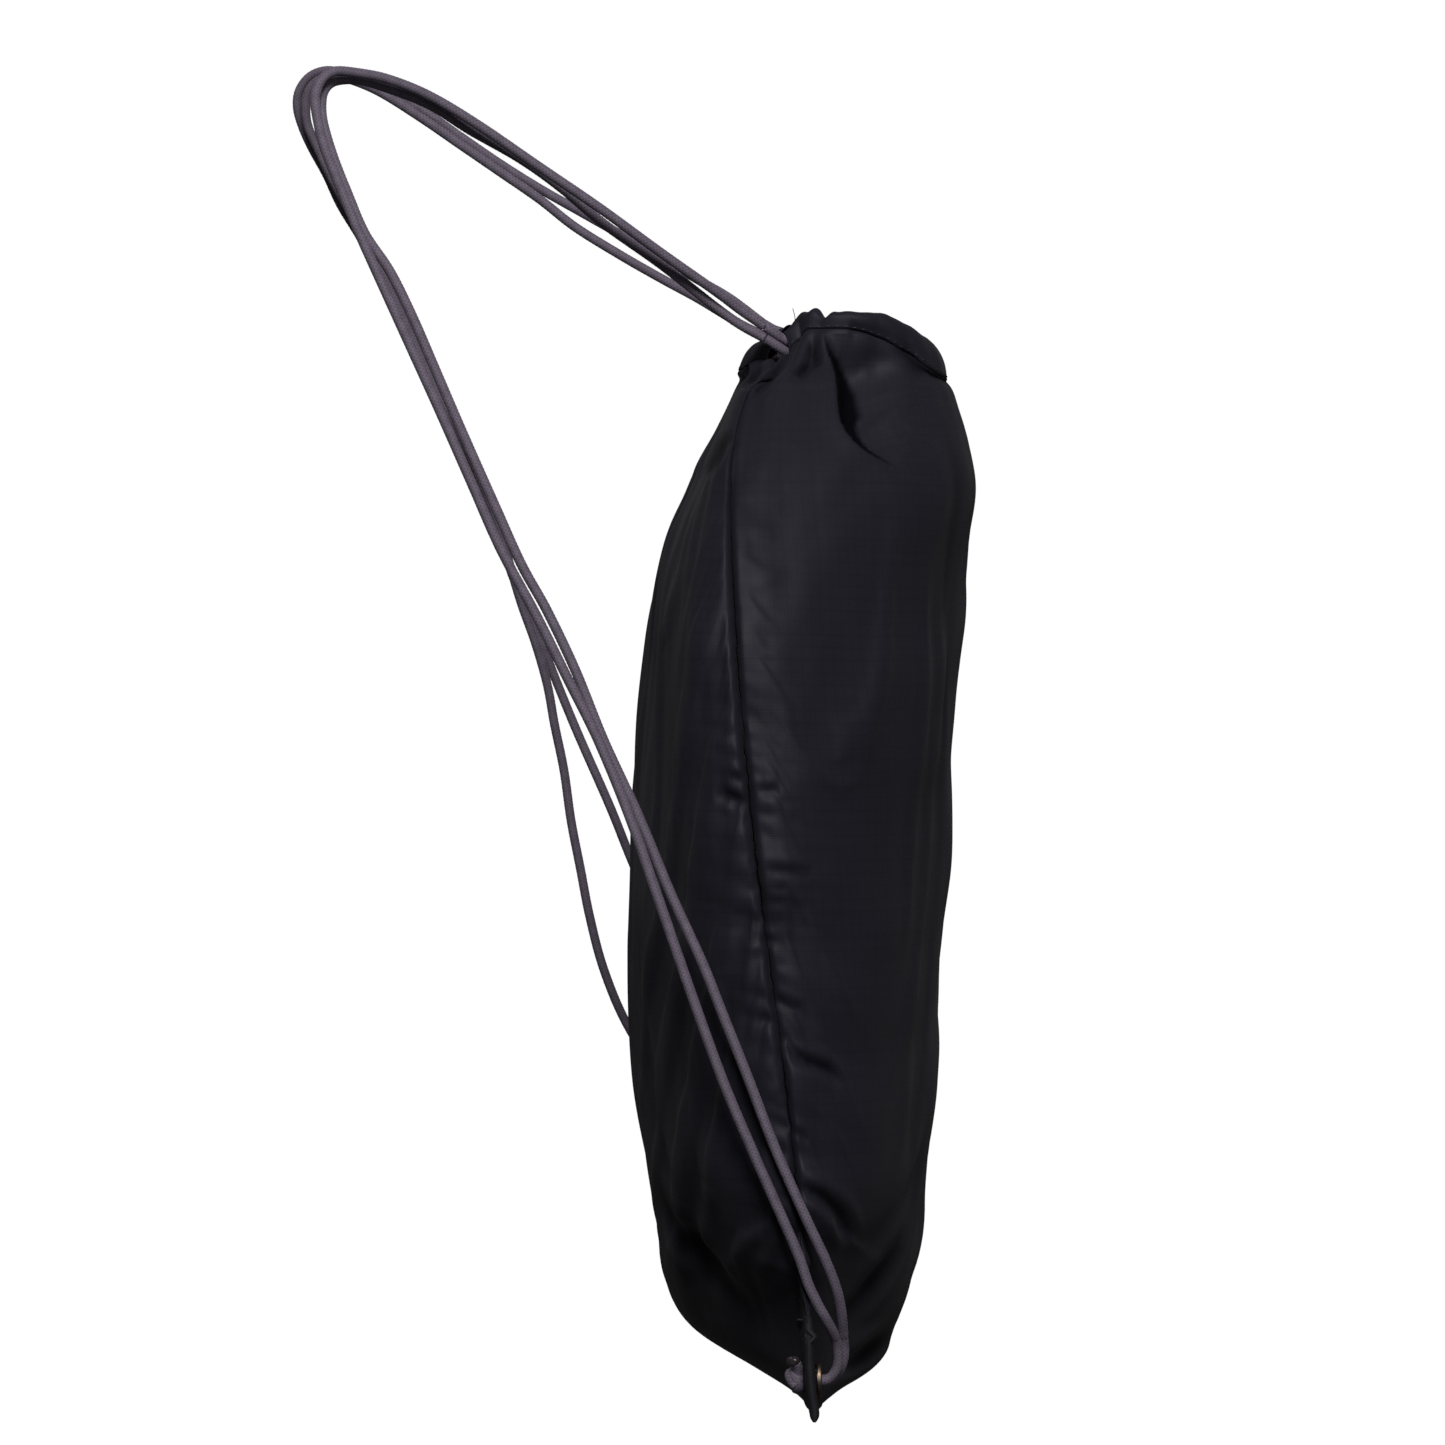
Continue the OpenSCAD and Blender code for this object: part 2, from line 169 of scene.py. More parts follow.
def mirrored(points):
    return [(-x, y, z) for x, y, z in points]


def ripples(x, y, seed, count=7, low=0.6, high=2.2):
    """Soft noise from -1 to 1: a few waves with seeded directions and phases."""
    rng = np.random.default_rng(seed)
    total = 0
    for _ in range(count):
        turn, phase = rng.uniform(0, 2 * math.pi, 2)
        rate = rng.uniform(low, high) * 2 * math.pi
        total = total + np.sin(rate * (x * math.cos(turn) + y * math.sin(turn)) + phase)
    return total / math.sqrt(count * 2)


def far_along(line):
    """The distance along a line at each of its points."""
    return np.concatenate([[0], np.cumsum(np.linalg.norm(np.diff(line, axis=0), axis=1))])


def at_places(places, far, line):
    """Points at these distances along a line."""
    return np.column_stack([np.interp(places, far, column) for column in line.T])


def curve(a, b, c, d, t):
    """The smooth curve from b to c that also heeds a and d (Catmull-Rom)."""
    return 0.5 * (2 * b + (c - a) * t + (2 * a - 5 * b + 4 * c - d) * t ** 2
                  + (3 * b - a - 3 * c + d) * t ** 3)


def resampled(points, step):
    """A smooth curve through the points, at even steps."""
    p = np.array(points, float)
    p = np.vstack([2 * p[0] - p[1], p, 2 * p[-1] - p[-2]])
    t = np.linspace(0, 1, 24, endpoint=False)[:, None]
    fine = np.vstack([curve(*four, t) for four in zip(p, p[1:], p[2:], p[3:])] + [p[-2:-1]])
    far = far_along(fine)
    return at_places(np.linspace(0, far[-1], max(3, round(far[-1] / step) + 1)), far, fine)


def given(thing, **settings):
    """A thing with these of its properties set."""
    for key, value in settings.items():
        setattr(thing, key, value)
    return thing


def linked(name, data, **settings):
    """A new object in the scene."""
    obj = given(bpy.data.objects.new(name, data), **settings)
    bpy.context.scene.collection.objects.link(obj)
    return obj


def new_mesh(name, points, faces, uvs=None, painted_shade=None):
    """An object from points and faces, with each point's (u, v) and its painted shade, which darkens
    the cloth in folds and seam grooves.
    """
    mesh = bpy.data.meshes.new(name)
    mesh.from_pydata([tuple(p) for p in points], [], [tuple(f) for f in faces])
    mesh.shade_smooth()
    if uvs is not None:
        corners = np.zeros(len(mesh.loops), np.int32)
        mesh.loops.foreach_get("vertex_index", corners)
        layer = mesh.uv_layers.new(name="cloth")
        layer.data.foreach_set("uv", np.asarray(uvs, np.float32)[corners].ravel())
    # The fold attribute carries painted shade, which the nylon material darkens the cloth by.
    if painted_shade is not None:
        mesh.attributes.new("fold", "FLOAT", "POINT").data.foreach_set("value", painted_shade.ravel())
    mesh.validate()
    return linked(name, mesh)


def joined(parts):
    """Points, faces and uvs of several parts as one set."""
    points, faces, uvs = [], [], []
    for part_points, part_faces, part_uvs in parts:
        start = sum(len(p) for p in points)
        points.append(part_points)
        faces += [tuple(start + k for k in face) for face in part_faces]
        uvs.append(part_uvs)
    return np.vstack(points), faces, np.vstack(uvs)


def grid_faces(rows, columns, closed=False, flip=False):
    """Quads of a grid of points; closed joins the last column to the first."""
    faces = []
    for i in range(rows - 1):
        for j in range(columns if closed else columns - 1):
            a, b = i * columns + j, i * columns + (j + 1) % columns
            c, d = b + columns, a + columns
            faces.append((a, d, c, b) if flip else (a, b, c, d))
    return faces


def tube_faces(rows, columns):
    """Quads of a tube of rings, and a face over each end."""
    last = (rows - 1) * columns
    return grid_faces(rows, columns, closed=True) + [tuple(range(columns - 1, -1, -1)),
                                                     tuple(range(last, last + columns))]


def tube_points(path, radius, angle):
    """Rings of points round a path, without a twist; the radius is per ring or per point."""
    heading = unit(np.gradient(path, axis=0))
    side = np.zeros_like(path)
    last = np.array([1.0, 0.0, 0.0])
    if abs(heading[0] @ last) > 0.9:
        last = np.array([0.0, 0.0, 1.0])
    for i, h in enumerate(heading):
        last = unit(last - (last @ h) * h)
        side[i] = last
    up = np.cross(heading, side)
    out = np.cos(angle)[:, None] * side[:, None] + np.sin(angle)[:, None] * up[:, None]
    return (path[:, None] + radius[..., None] * out).reshape(-1, 3)


def uv_grid(across, along):
    return np.stack(np.meshgrid(across, along), axis=-1).reshape(-1, 2)


def applied(obj, kind, **settings):
    """Adds one modifier with these settings and applies it."""
    bpy.context.view_layer.objects.active = obj
    modifier = given(obj.modifiers.new(kind.lower(), kind), **settings)
    bpy.ops.object.modifier_apply(modifier=modifier.name)


def placed(obj, body, material, replaces):
    """Rides a finished piece on its body and gives it its material."""
    obj.data.materials.clear()
    obj.data.materials.append(material)
    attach(obj, body)
    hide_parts(*replaces)
    return obj


# ---- Camera and light ----

def make_camera():
    """The photo's view: level, square to the left side, with the front panel at the right."""
    distance = 2.4
    width_seen = 0.59245
    data = given(bpy.data.cameras.new("camera"), sensor_width=36,
                 lens=36 * distance / width_seen, clip_end=50)
    bpy.context.scene.camera = linked("camera", data, location=(-distance, -0.1609, -0.2632),
                                      rotation_euler=(math.pi / 2, 0, -math.pi / 2))


def soft_light(name, place, size, watts, glossy=True):
    """A round soft light that faces the middle of the bag."""
    data = given(bpy.data.lights.new(name, "AREA"), shape="DISK", size=size, energy=watts)
    x, y, z = unit(np.subtract(place, (0, -0.19, -0.3)))
    linked(name, data, location=place, visible_camera=False, visible_glossy=glossy,
           rotation_euler=(math.acos(z), 0, math.atan2(y, x) + math.pi / 2))


def scenery(name, colour, glow):
    """Names the new plain piece of the studio and gives it a matt, glowing surface."""
    obj = bpy.context.object
    obj.name = name
    material = bpy.data.materials.new(name)
    material.use_nodes = True
    inputs = material.node_tree.nodes["Principled BSDF"].inputs
    inputs["Base Color"].default_value = (colour, colour, colour, 1)
    inputs["Roughness"].default_value = 0.9
    inputs["Specular IOR Level"].default_value = 0.2
    inputs["Emission Color"].default_value = (1, 1, 1, 1)
    inputs["Emission Strength"].default_value = glow
    obj.data.materials.append(material)
    return obj


def make_studio():
    """A pale floor below the hanging bag, a white surround that only the camera sees, and lights."""
    scene = bpy.context.scene
    scene.view_settings.view_transform = "Standard"
    scene.world = bpy.data.worlds.new("studio")
    scene.world.use_nodes = True
    background = scene.world.node_tree.nodes["Background"].inputs
    background["Color"].default_value = (1, 1, 1, 1)
    background["Strength"].default_value = 0.05

    bpy.ops.mesh.primitive_circle_add(vertices=96, radius=1.45, fill_type="TRIFAN",
                                      location=(0, 0, -0.76))
    floor = scenery("floor", 0.85, 0.42)
    floor.visible_diffuse = floor.visible_glossy = False
    bpy.ops.mesh.primitive_uv_sphere_add(segments=48, ring_count=24, radius=9)
    surround = scenery("surround", 0, 1.0)
    for ray in ("diffuse", "glossy", "transmission", "volume_scatter", "shadow"):
        setattr(surround, "visible_" + ray, False)

    soft_light("key", (-2.3, -0.25, 1.5), 1.0, 70)
    soft_light("fill", (-2.6, -1.2, 0.3), 1.4, 5)
    soft_light("far_side", (2.6, -0.6, 1.7), 1.4, 60, False)
    soft_light("wearer_side", (2.1, 2.2, 1.4), 1.4, 20, False)
    soft_light("front_side", (2.2, -2.1, 1.4), 1.4, 12, False)


# ---- Materials ----

THREAD_PITCH = 0.0009   # of the plain weave
GRID_PITCH = 0.0048     # of the ripstop's doubled threads


class Nodes:
    """Builds one material's nodes."""

    def __init__(self, name):
        self.material = bpy.data.materials.new(name)
        self.material.use_nodes = True
        self.tree = self.material.node_tree

    def put(self, socket, value):
        if isinstance(value, bpy.types.NodeSocket):
            self.tree.links.new(value, socket)
        else:
            socket.default_value = value

    def node(self, kind, inputs, output=0, **settings):
        node = given(self.tree.nodes.new("ShaderNode" + kind), **settings)
        for key, value in inputs.items():
            self.put(node.inputs[key], value)
        return node.outputs[output]

    def math(self, operation, a, b=0.0, clamp=False):
        return self.node("Math", {0: a, 1: b}, operation=operation, use_clamp=clamp)

    def times(self, a, b):
        return self.math("MULTIPLY", a, b)

    def scaled(self, value, factor, offset):
        return self.math("ADD", self.times(value, factor), offset)

    def uv(self):
        """The cloth's own place in metres, and the same across and along."""
        place = self.node("UVMap", {}, uv_map="cloth")
        return place, *(self.node("SeparateXYZ", {0: place}, axis) for axis in (0, 1))

    def noise(self, place, scale, detail, roughness=0.5):
        return self.node("TexNoise", {"Vector": place, "Scale": scale, "Detail": detail,
                                      "Roughness": roughness}, "Fac")

    def streaks(self, place, *stretch):
        return self.noise(self.node("Mapping", {"Vector": place, "Scale": stretch}), 1, 2)

    def object_noise(self, *kind):
        return self.noise(self.node("TexCoord", {}, "Object"), *kind)

    def threads(self, along, pitch):
        """A wave from 0 to 1, once for each thread."""
        return self.scaled(self.math("SINE", self.times(along, 2 * math.pi / pitch)), 0.5, 0.5)

    def weave(self, across, along):
        return self.times(self.threads(across, THREAD_PITCH), self.threads(along, THREAD_PITCH))

    def lines(self, along, pitch, sharpness):
        """Thin lines: 1 at the middle of each, and 0 between."""
        return self.math("POWER", self.threads(along, pitch), sharpness)

    def ramp(self, factor, low, low_colour, high, high_colour):
        node = self.tree.nodes.new("ShaderNodeValToRGB")
        self.put(node.inputs[0], factor)
        first, last = node.color_ramp.elements
        first.position, first.color = low, (*low_colour, 1)
        last.position, last.color = high, (*high_colour, 1)
        return node.outputs[0]

    def mix(self, factor, *colours):
        a, b = (c if isinstance(c, bpy.types.NodeSocket) else (*c, 1) for c in colours)
        return self.node("Mix", {0: factor, 6: a, 7: b}, 2, data_type="RGBA")

    def finish(self, colour, roughness, height, distance, strength, **others):
        bump = self.node("Bump", {"Strength": strength, "Distance": distance, "Height": height})
        shader = self.tree.nodes["Principled BSDF"]
        others.update(Base_Color=colour, Roughness=roughness, Normal=bump)
        for name, value in others.items():
            self.put(shader.inputs[name.replace("_", " ")], value)
        return self.material


def nylon():
    """Black ripstop nylon: fine plain weave, a faint grid of doubled threads, soft satin, and painted
    shade: the fold attribute darkens the colour, specular and sheen in folds and seam grooves.
    """
    n = Nodes("black_nylon")
    place, across, along = n.uv()
    grid = n.math("MAXIMUM", n.lines(across, GRID_PITCH, 14), n.lines(along, GRID_PITCH, 14))
    tone = n.times(n.noise(place, 9, 3), 0.35)
    for part, share in ((n.noise(place, 160, 1), 0.15), (n.streaks(place, 70, 3, 1), 0.30),
                        (n.streaks(place, 4, 260, 1), 0.20)):
        tone = n.scaled(part, share, tone)
    cloth = n.ramp(tone, 0.3, (0.0125, 0.0119, 0.0182), 0.7, (0.0175, 0.0166, 0.0252))
    cloth = n.mix(n.times(grid, 0.26), cloth, (0.0085, 0.0082, 0.0125))
    # Painted shade: the fold attribute darkens the cloth towards near-black and dims its specular and
    # sheen; lit is what is left of them.
    painted_fold_shade = n.node("Attribute", {}, "Fac", attribute_name="fold")
    lit = n.math("SUBTRACT", 1.0, n.times(painted_fold_shade, 0.9), clamp=True)
    return n.finish(n.mix(lit, (0.0012, 0.0012, 0.0018), cloth),
                    n.scaled(n.noise(place, 45, 2), 0.14, 0.50),
                    n.scaled(n.weave(across, along), 0.7, n.times(grid, 0.25)), 0.00012, 0.35,
                    Specular_IOR_Level=n.times(lit, 0.14), Sheen_Roughness=0.5,
                    Sheen_Weight=n.times(lit, 0.02))


def black_trim():
    """Plain black trim: turned edges and corner patches, a little duller than the panels."""
    n = Nodes("black_trim")
    place, across, along = n.uv()
    tone = n.noise(place, 120, 3)
    return n.finish(n.ramp(tone, 0.3, (0.012, 0.012, 0.015), 0.75, (0.0162, 0.0162, 0.02025)),
                    n.scaled(tone, 0.15, 0.6), n.weave(across, along), 0.00015, 0.6,
                    Specular_IOR_Level=0.25)


def mauve_braid():
    """Mauve-grey polyester: fine yarns along each strand, and painted shade where the strands cross."""
    n = Nodes("mauve_braid")
    place, around, along = n.uv()
    tone = n.noise(place, 260, 3)
    yarn = n.threads(n.math("ADD", along, around), 0.00033)
    lean = n.times(around, BRAID_TURNS * BRAID_PITCH / (math.pi * CORD_D))
    crossing = n.times(*(n.lines(n.math(way, along, lean), BRAID_PITCH, 1.5)
                         for way in ("ADD", "SUBTRACT")))
    base = n.ramp(tone, 0.25, (0.115, 0.094, 0.130), 0.75, (0.185, 0.154, 0.206))
    strands = n.mix(n.times(yarn, 0.3), base, (0.080, 0.065, 0.092))
    # Painted shade: the colour is darkened where the two sets of strands cross.
    return n.finish(n.mix(n.times(crossing, 0.8), strands, (0.030, 0.024, 0.034)),
                    n.scaled(tone, 0.2, 0.5), yarn, 0.00008, 0.5,
                    Specular_IOR_Level=0.35, Sheen_Weight=0.1, Sheen_Roughness=0.4)


def sealed_tip():
    """The melted, glossy end of a cut cord."""
    n = Nodes("sealed_tip")
    tone = n.object_noise(900, 3)
    return n.finish(n.ramp(tone, 0.3, (0.016, 0.013, 0.015), 0.7, (0.045, 0.035, 0.040)),
                    n.scaled(tone, 0.2, 0.16), tone, 0.0003, 0.6, Specular_IOR_Level=0.5)


def worn_nickel():
    """Nickel plating, worn to brass in patches."""
    n = Nodes("worn_nickel")
    wear = n.object_noise(420, 4, 0.6)
    return n.finish(n.ramp(wear, 0.40, (0.17, 0.16, 0.15), 0.58, (0.14, 0.09, 0.05)),
                    n.scaled(wear, 0.3, 0.28), wear, 0.0001, 0.4, Metallic=1.0)


def black_thread():
    """Twisted black sewing thread."""
    n = Nodes("black_thread")
    _, around, along = n.uv()
    twist = n.threads(n.scaled(around, 0.6, along), 0.0004)
    return n.finish(n.ramp(twist, 0.2, (0.012, 0.012, 0.016), 0.8, (0.030, 0.030, 0.038)),
                    n.scaled(twist, 0.1, 0.45), twist, 0.00005, 0.5, Specular_IOR_Level=0.4)


# ---- Cords ----

BRAID_SIDES = 24
BRAID_STEP = 0.0005
BRAID_DEPTH = 0.00022


def braid_height(around, along):
    """Two sets of strands that pass over and under each other, from 0 to 1."""
    u = around * BRAID_TURNS + along / BRAID_PITCH
    v = around * BRAID_TURNS - along / BRAID_PITCH
    over = (np.floor(u) + np.floor(v)) % 2
    strand_u, strand_v = (np.sqrt(np.clip(1 - np.square(2 * (w % 1) - 1), 0, 1)) for w in (u, v))
    return np.maximum(strand_u * (0.55 + 0.45 * over), strand_v * (1 - 0.45 * over))


def tubes(name, paths, diameter=CORD_D):
    """One mesh of closed braided tubes, each along its own path."""
    around = np.arange(BRAID_SIDES) / BRAID_SIDES
    angle = 2 * math.pi * around
    parts = []
    for path in paths:
        line = resampled(path, BRAID_STEP)
        far = far_along(line)
        height = braid_height(around[None, :], far[:, None])
        radius = diameter / 2 - BRAID_DEPTH * (1 - height)
        parts.append((tube_points(line, radius, angle), tube_faces(len(line), BRAID_SIDES),
                      uv_grid(angle * diameter / 2, far)))
    return new_mesh(name, *joined(parts))


def mouth_point(angle, out, z):
    """A point round the mouth's oval, which sags and leans out at the front and the back."""
    a = np.radians(angle)
    y = MOUTH_Y + MOUTH_B * np.sin(a)
    sag = 0.0115 * smooth(y, -0.200, -0.172) + 0.0105 * smooth(-y, 0.222, 0.250)
    flare = 0.0065 * smooth(-np.asarray(z), 0.094, 0.114)
    out = out + flare * (smooth(-y, 0.222, 0.240) + smooth(y, -0.196, -0.180))
    return np.stack(np.broadcast_arrays((MOUTH_A + out) * np.cos(a),
                                        MOUTH_Y + (MOUTH_B + out) * np.sin(a), z - sag), axis=-1)


STRAPS = {
    "strap_cord_left_outer": ("strap_left", ROUTE_LEFT_OUTER, "hanging"),
    "strap_cord_left_inner": ("strap_left", ROUTE_LEFT_INNER, "hanging"),
    "strap_cord_right_outer": ("strap_right", ROUTE_RIGHT_OUTER, "taut"),
    "strap_cord_right_inner": ("strap_right", ROUTE_RIGHT_INNER, "hanging"),
}
# Each channel cord's two ends, its side's way round, and its arc round the mouth
CHANNELS = {
    "left": (CHANNEL_LEFT_FRONT_END, CHANNEL_LEFT_BACK_END, list,
             180 - EXIT_ANGLE + EXIT_HALF_GAP, 540 - EXIT_ANGLE - EXIT_HALF_GAP, -0.111),
    "right": (CHANNEL_RIGHT_FRONT_END, CHANNEL_RIGHT_BACK_END, mirrored,
              EXIT_ANGLE - EXIT_HALF_GAP, EXIT_ANGLE + EXIT_HALF_GAP - 360, -0.105),
}


def make_cords(braid):
    for node, (body, route, lay) in STRAPS.items():
        cord = placed(tubes(node + "_braid", [route]), body, braid, [node])

    for side, (front_end, back_end, turn, first, last, z) in CHANNELS.items():
        arc = mouth_point(np.linspace(first, last, 23), 0, z)
        node = "channel_cord_" + side
        placed(tubes(node + "_braid", [[*front_end[::-1], *arc, *back_end]]), "bag",
               braid, [node])
        node = "cord_tails_" + side
        # A hair thinner, as each tail starts inside the end of its strap's run
        placed(tubes(node + "_braid", [turn(TAIL_OUTER), turn(TAIL_INNER)], 0.985 * CORD_D),
               "bag", braid, [node])


# ---- The bag's cloth ----

ROWS = 196      # steps down each panel, from the hem to the bottom seam
COLUMNS = 120   # steps across each panel, from the left seam to the right one
SIDES = {"front": -1, "back": 1}

# How far each column of a panel lies across it, from 0 to 1: closer together beside the seams
EVEN = np.linspace(0, 1, COLUMNS + 1)
SPREAD = EVEN - 0.6 * np.sin(2 * math.pi * EVEN) / (2 * math.pi)


def outline_at(s):
    """Smooth rows between the outline's own, for places s from 0 to the last row."""
    last = len(OUTLINE) - 1
    i = np.clip(np.floor(s).astype(int), 0, last - 1)
    return curve(*(OUTLINE[np.clip(i + k, 0, last)] for k in (-1, 0, 1, 2)), (s - i)[:, None])


def even_levels():
    """Places down the outline at even steps along the cloth, and their rows."""
    s = np.linspace(0, len(OUTLINE) - 1, 1200)
    rows = outline_at(s)
    steps = sum(np.hypot(np.diff(rows[:, 0]), np.diff(rows[:, k])) for k in (1, 2, 4))
    far = np.concatenate([[0], np.cumsum(steps)])
    even = np.interp(np.linspace(0, far[-1], ROWS + 1), far, s)
    return even, outline_at(even)


def section(row, side):
    """One level of a panel, from the left seam to the right one; low down, its ends are pinched
    flat into the fins that carry the eyelets."""
    z, back, front, seam, width = row
    edge = mixed(width, 0.1668, smooth(-z, 0.462, 0.502))
    root = mixed(width, 0.1400, smooth(-z, 0.455, 0.507))
    power = mixed(0.5, 1.15, smooth(-z, 0.435, 0.515))
    flat = 0.0006 * float(smooth(-z, 0.465, 0.500))
    depth = abs((back if side > 0 else front) - seam)
    x = -edge * np.cos(np.linspace(0, math.pi, 420))
    full = np.clip(1 - np.square(x / root), 0, 1) ** power
    y = seam + side * (flat + max(depth - flat, 0) * full)
    y[0] = y[-1] = seam
    far = np.concatenate([[0], np.cumsum(np.hypot(np.diff(x), np.diff(y)))])
    level = at_places(SPREAD * far[-1], far, np.column_stack([x, y]))
    return np.column_stack([level, np.full(COLUMNS + 1, z)])


def ring_angles(side):
    """Angles round the mouth that the panel's columns are gathered onto."""
    left = 180 - EXIT_ANGLE
    right = EXIT_ANGLE if side > 0 else 360 + EXIT_ANGLE
    return left + (right - left) * SPREAD


def hem_rise(angle):
    """How far the hem's seam rides up where the hem is rolled inwards."""
    back = smooth(angle, 37, 60) * (1 - smooth(angle, 125, 146))
    left = smooth(angle, 132, 150) * (1 - smooth(angle, 178, 246))
    turn = 540 - angle
    right = smooth(turn, 132, 150) * (1 - smooth(turn, 178, 240))
    return 0.0112 * left + 0.0060 * right + 0.0060 * back


def lofted(side, places, rows):
    """The panel's smooth shape, before any fold."""
    panel = np.array([section(row, side) for row in rows])
    lip = np.abs(panel[..., 0]) - 0.150
    low = smooth(-rows[:, 0], 0.500, 0.531)[:, None]
    panel[..., 2] += 0.0024 * np.clip(lip / 0.0165, 0, 1) * low
    angles = ring_angles(side)[None, :]
    rise = hem_rise(angles) * (1 - smooth(places, 0, 1.1))[:, None]
    ring = mouth_point(angles, 0.0048, rows[:, 0:1] + rise)
    return mixed(ring, panel, smooth(places, -0.15, 0.9)[:, None, None])


def pushed_out(panel, side, lift):
    """A panel with each point moved out of the bag by its lift."""
    down, over = np.gradient(panel, axis=0), np.gradient(panel, axis=1)
    return panel - side * unit(np.cross(down, over)) * lift[..., None]


def gathers(side, places):
    """Creases that run down from the gathered mouth."""
    count, seed = (9, 31) if side > 0 else (15, 12)
    rng = np.random.default_rng(seed)
    column = SPREAD[None, :]
    down = np.asarray(places)[:, None]
    lift = 0
    for k in range(count):
        middle = (k + 0.5 + rng.uniform(-0.22, 0.22)) / count
        reach = rng.uniform(0.9, 2.4)
        depth = rng.uniform(0.0030, 0.0056)
        drift = rng.uniform(-0.012, 0.012)
        width = rng.uniform(0.22, 0.34) / count
        away = np.abs((column - middle - drift * down) / width)
        fade = 1 - smooth(down, 0.2 * reach, reach)
        lift = lift - depth * fade * np.exp(-away ** 1.5) + 0.25 * depth * fade / count
    if side > 0:
        return 0.7 * lift
    return lift * (1 - 0.85 * smooth(column, 0.05, 0.10) * (1 - smooth(column, 0.46, 0.58)))


# Folds of the cloth as the photo shows them, in mm: the depth and width of the valley, how far
# the cloth beside it stands up, and the points of the line. A "hollow" falls away sharply on the
# line's left-hand side, walking along it, and comes back slowly.
# On the bag's two sides the lines are drawn in (y, z); on its faces in (x, z).
LEFT_FOLDS = {
    "hollow": [
        (12, 11, 2.2, (-201, -106.5), (-202.5, -113.5), (-205.5, -122), (-206.5, -132), (-207.5, -143),
         (-210.5, -149.5), (-217.5, -156), (-228, -162)),
    ],
    "crease": [
        (3, 2.2, 0.8, (-230, -112.5), (-236, -115), (-239, -119), (-241.5, -124)),
        (2.8, 2, 1, (-188, -115), (-184.5, -119), (-178, -128), (-172.5, -134.5)),
        (3, 2.6, 1, (-164, -149), (-160.5, -154.5), (-158, -160), (-154.5, -165.5)),
        (3.5, 2.4, 0.8, (-177, -118.5), (-172.5, -125), (-168.5, -130)),
        (5, 2.4, 1, (-196.5, -108.5), (-197.5, -117), (-199, -122)),
        (4, 2.4, 1, (-190, -126), (-194, -121.5), (-197.5, -119.5)),
        (4, 4, 1.2, (-205, -518), (-216, -515), (-224, -511), (-232, -505)),
        (2.4, 2, 1, (-158, -290), (-166, -293.5), (-172, -295.5)),
        (2.2, 1.8, 0.8, (-174.5, -287.5), (-178.5, -289), (-183.5, -288)),
        (1.8, 1.6, 0.6, (-163, -283.5), (-168, -285), (-170.5, -285)),
        (2.4, 1.8, 0.8, (-176, -318.5), (-185, -320), (-195, -321.5)),
        (1.8, 1.5, 0.6, (-176, -325), (-181, -326.2), (-185, -326.5)),
        (1.6, 1.5, 0.6, (-169, -345.5), (-178, -346.5), (-186.5, -348)),
        (1.8, 1.6, 0.6, (-180, -369.5), (-185, -371), (-192, -374)),
        (1.6, 1.5, 0.6, (-181, -383), (-185, -385), (-189, -387)),
        (3.4, 2.2, 1.2, (-184.5, -387.5), (-194, -393), (-202, -397), (-207, -403)),
        (1.8, 1.6, 0.6, (-187, -419.5), (-191, -421), (-194.5, -423.5)),
        (3.6, 2.4, 1.4, (-191, -440.5), (-200.5, -446), (-207, -453.5), (-211, -464.5)),
    ],
    "ridge": [
        (2.6, 4, 0, (-139, -348), (-140.5, -399.5), (-143.5, -430), (-145, -457), (-147, -482.5),
         (-151, -500)),
        (1.5, 3, 0, (-155.5, -442), (-152.5, -482.5)),
        (1.4, 2.8, 0, (-179, -452.5), (-169, -468), (-171.5, -479)),
        (1.4, 2.8, 0, (-184, -459), (-174, -477.5)),
        (1, 6, 0, (-198, -274.5), (-188, -290), (-179.5, -308)),
        (1.3, 5, 0, (-149, -201), (-153.5, -238), (-156.5, -272.5)),
        (1.6, 2.2, 0, (-146, -200.5), (-141.5, -217), (-138, -232.5)),
    ],
}
RIGHT_FOLDS = {
    "hollow": [
        (10, 9, 1.2, (-222, -118), (-220, -126), (-216.5, -137), (-213.5, -147), (-206, -156)),
    ],
    "crease": [
        (3.5, 2.4, 0.8, (-188, -116), (-181, -126), (-174, -138), (-168, -152)),
        (3, 2.6, 0.8, (-238, -121), (-243, -134), (-246, -150)),
        (4, 4, 1.2, (-160, -506), (-172, -514), (-184, -518)),
    ],
    "ridge": [
        (2.2, 4.5, 0, (-144, -365), (-147, -410), (-151, -455), (-158, -492)),
        (1.6, 3.4, 0, (-232, -420), (-225, -456), (-214, -488)),
    ],
}
FRONT_FOLDS = {
    "crease": [
        (3, 7, 1, (-126, -502), (-96, -482), (-60, -470)),
        (3, 7, 1, (128, -500), (100, -476), (58, -458)),
        (1.6, 6, 0.4, (-40, -135), (-52, -190), (-48, -250)),
        (2.6, 6, 1, (30, -134), (42, -180), (40, -232)),
        (2.2, 6, 0.8, (4, -132), (-4, -175), (2, -212)),
    ],
    "ridge": [
        (2, 9, 0, (-118, -470), (-96, -420), (-86, -350)),
        (2.2, 9, 0, (122, -468), (108, -400), (104, -320)),
    ],
}
BACK_FOLDS = {
    "crease": [
        (3.4, 8, 1.2, (-122, -498), (-90, -470), (-50, -452)),
        (3, 8, 1.2, (124, -500), (88, -476), (46, -462)),
        (3, 7, 1.2, (-20, -128), (-32, -185), (-26, -255)),
        (3, 7, 1.2, (22, -128), (38, -178), (46, -240)),
    ],
    "ridge": [
        (2.4, 9, 0, (110, -478), (88, -420), (80, -360)),
        (2.4, 9, 0, (-112, -470), (-94, -410), (-92, -330)),
    ],
}


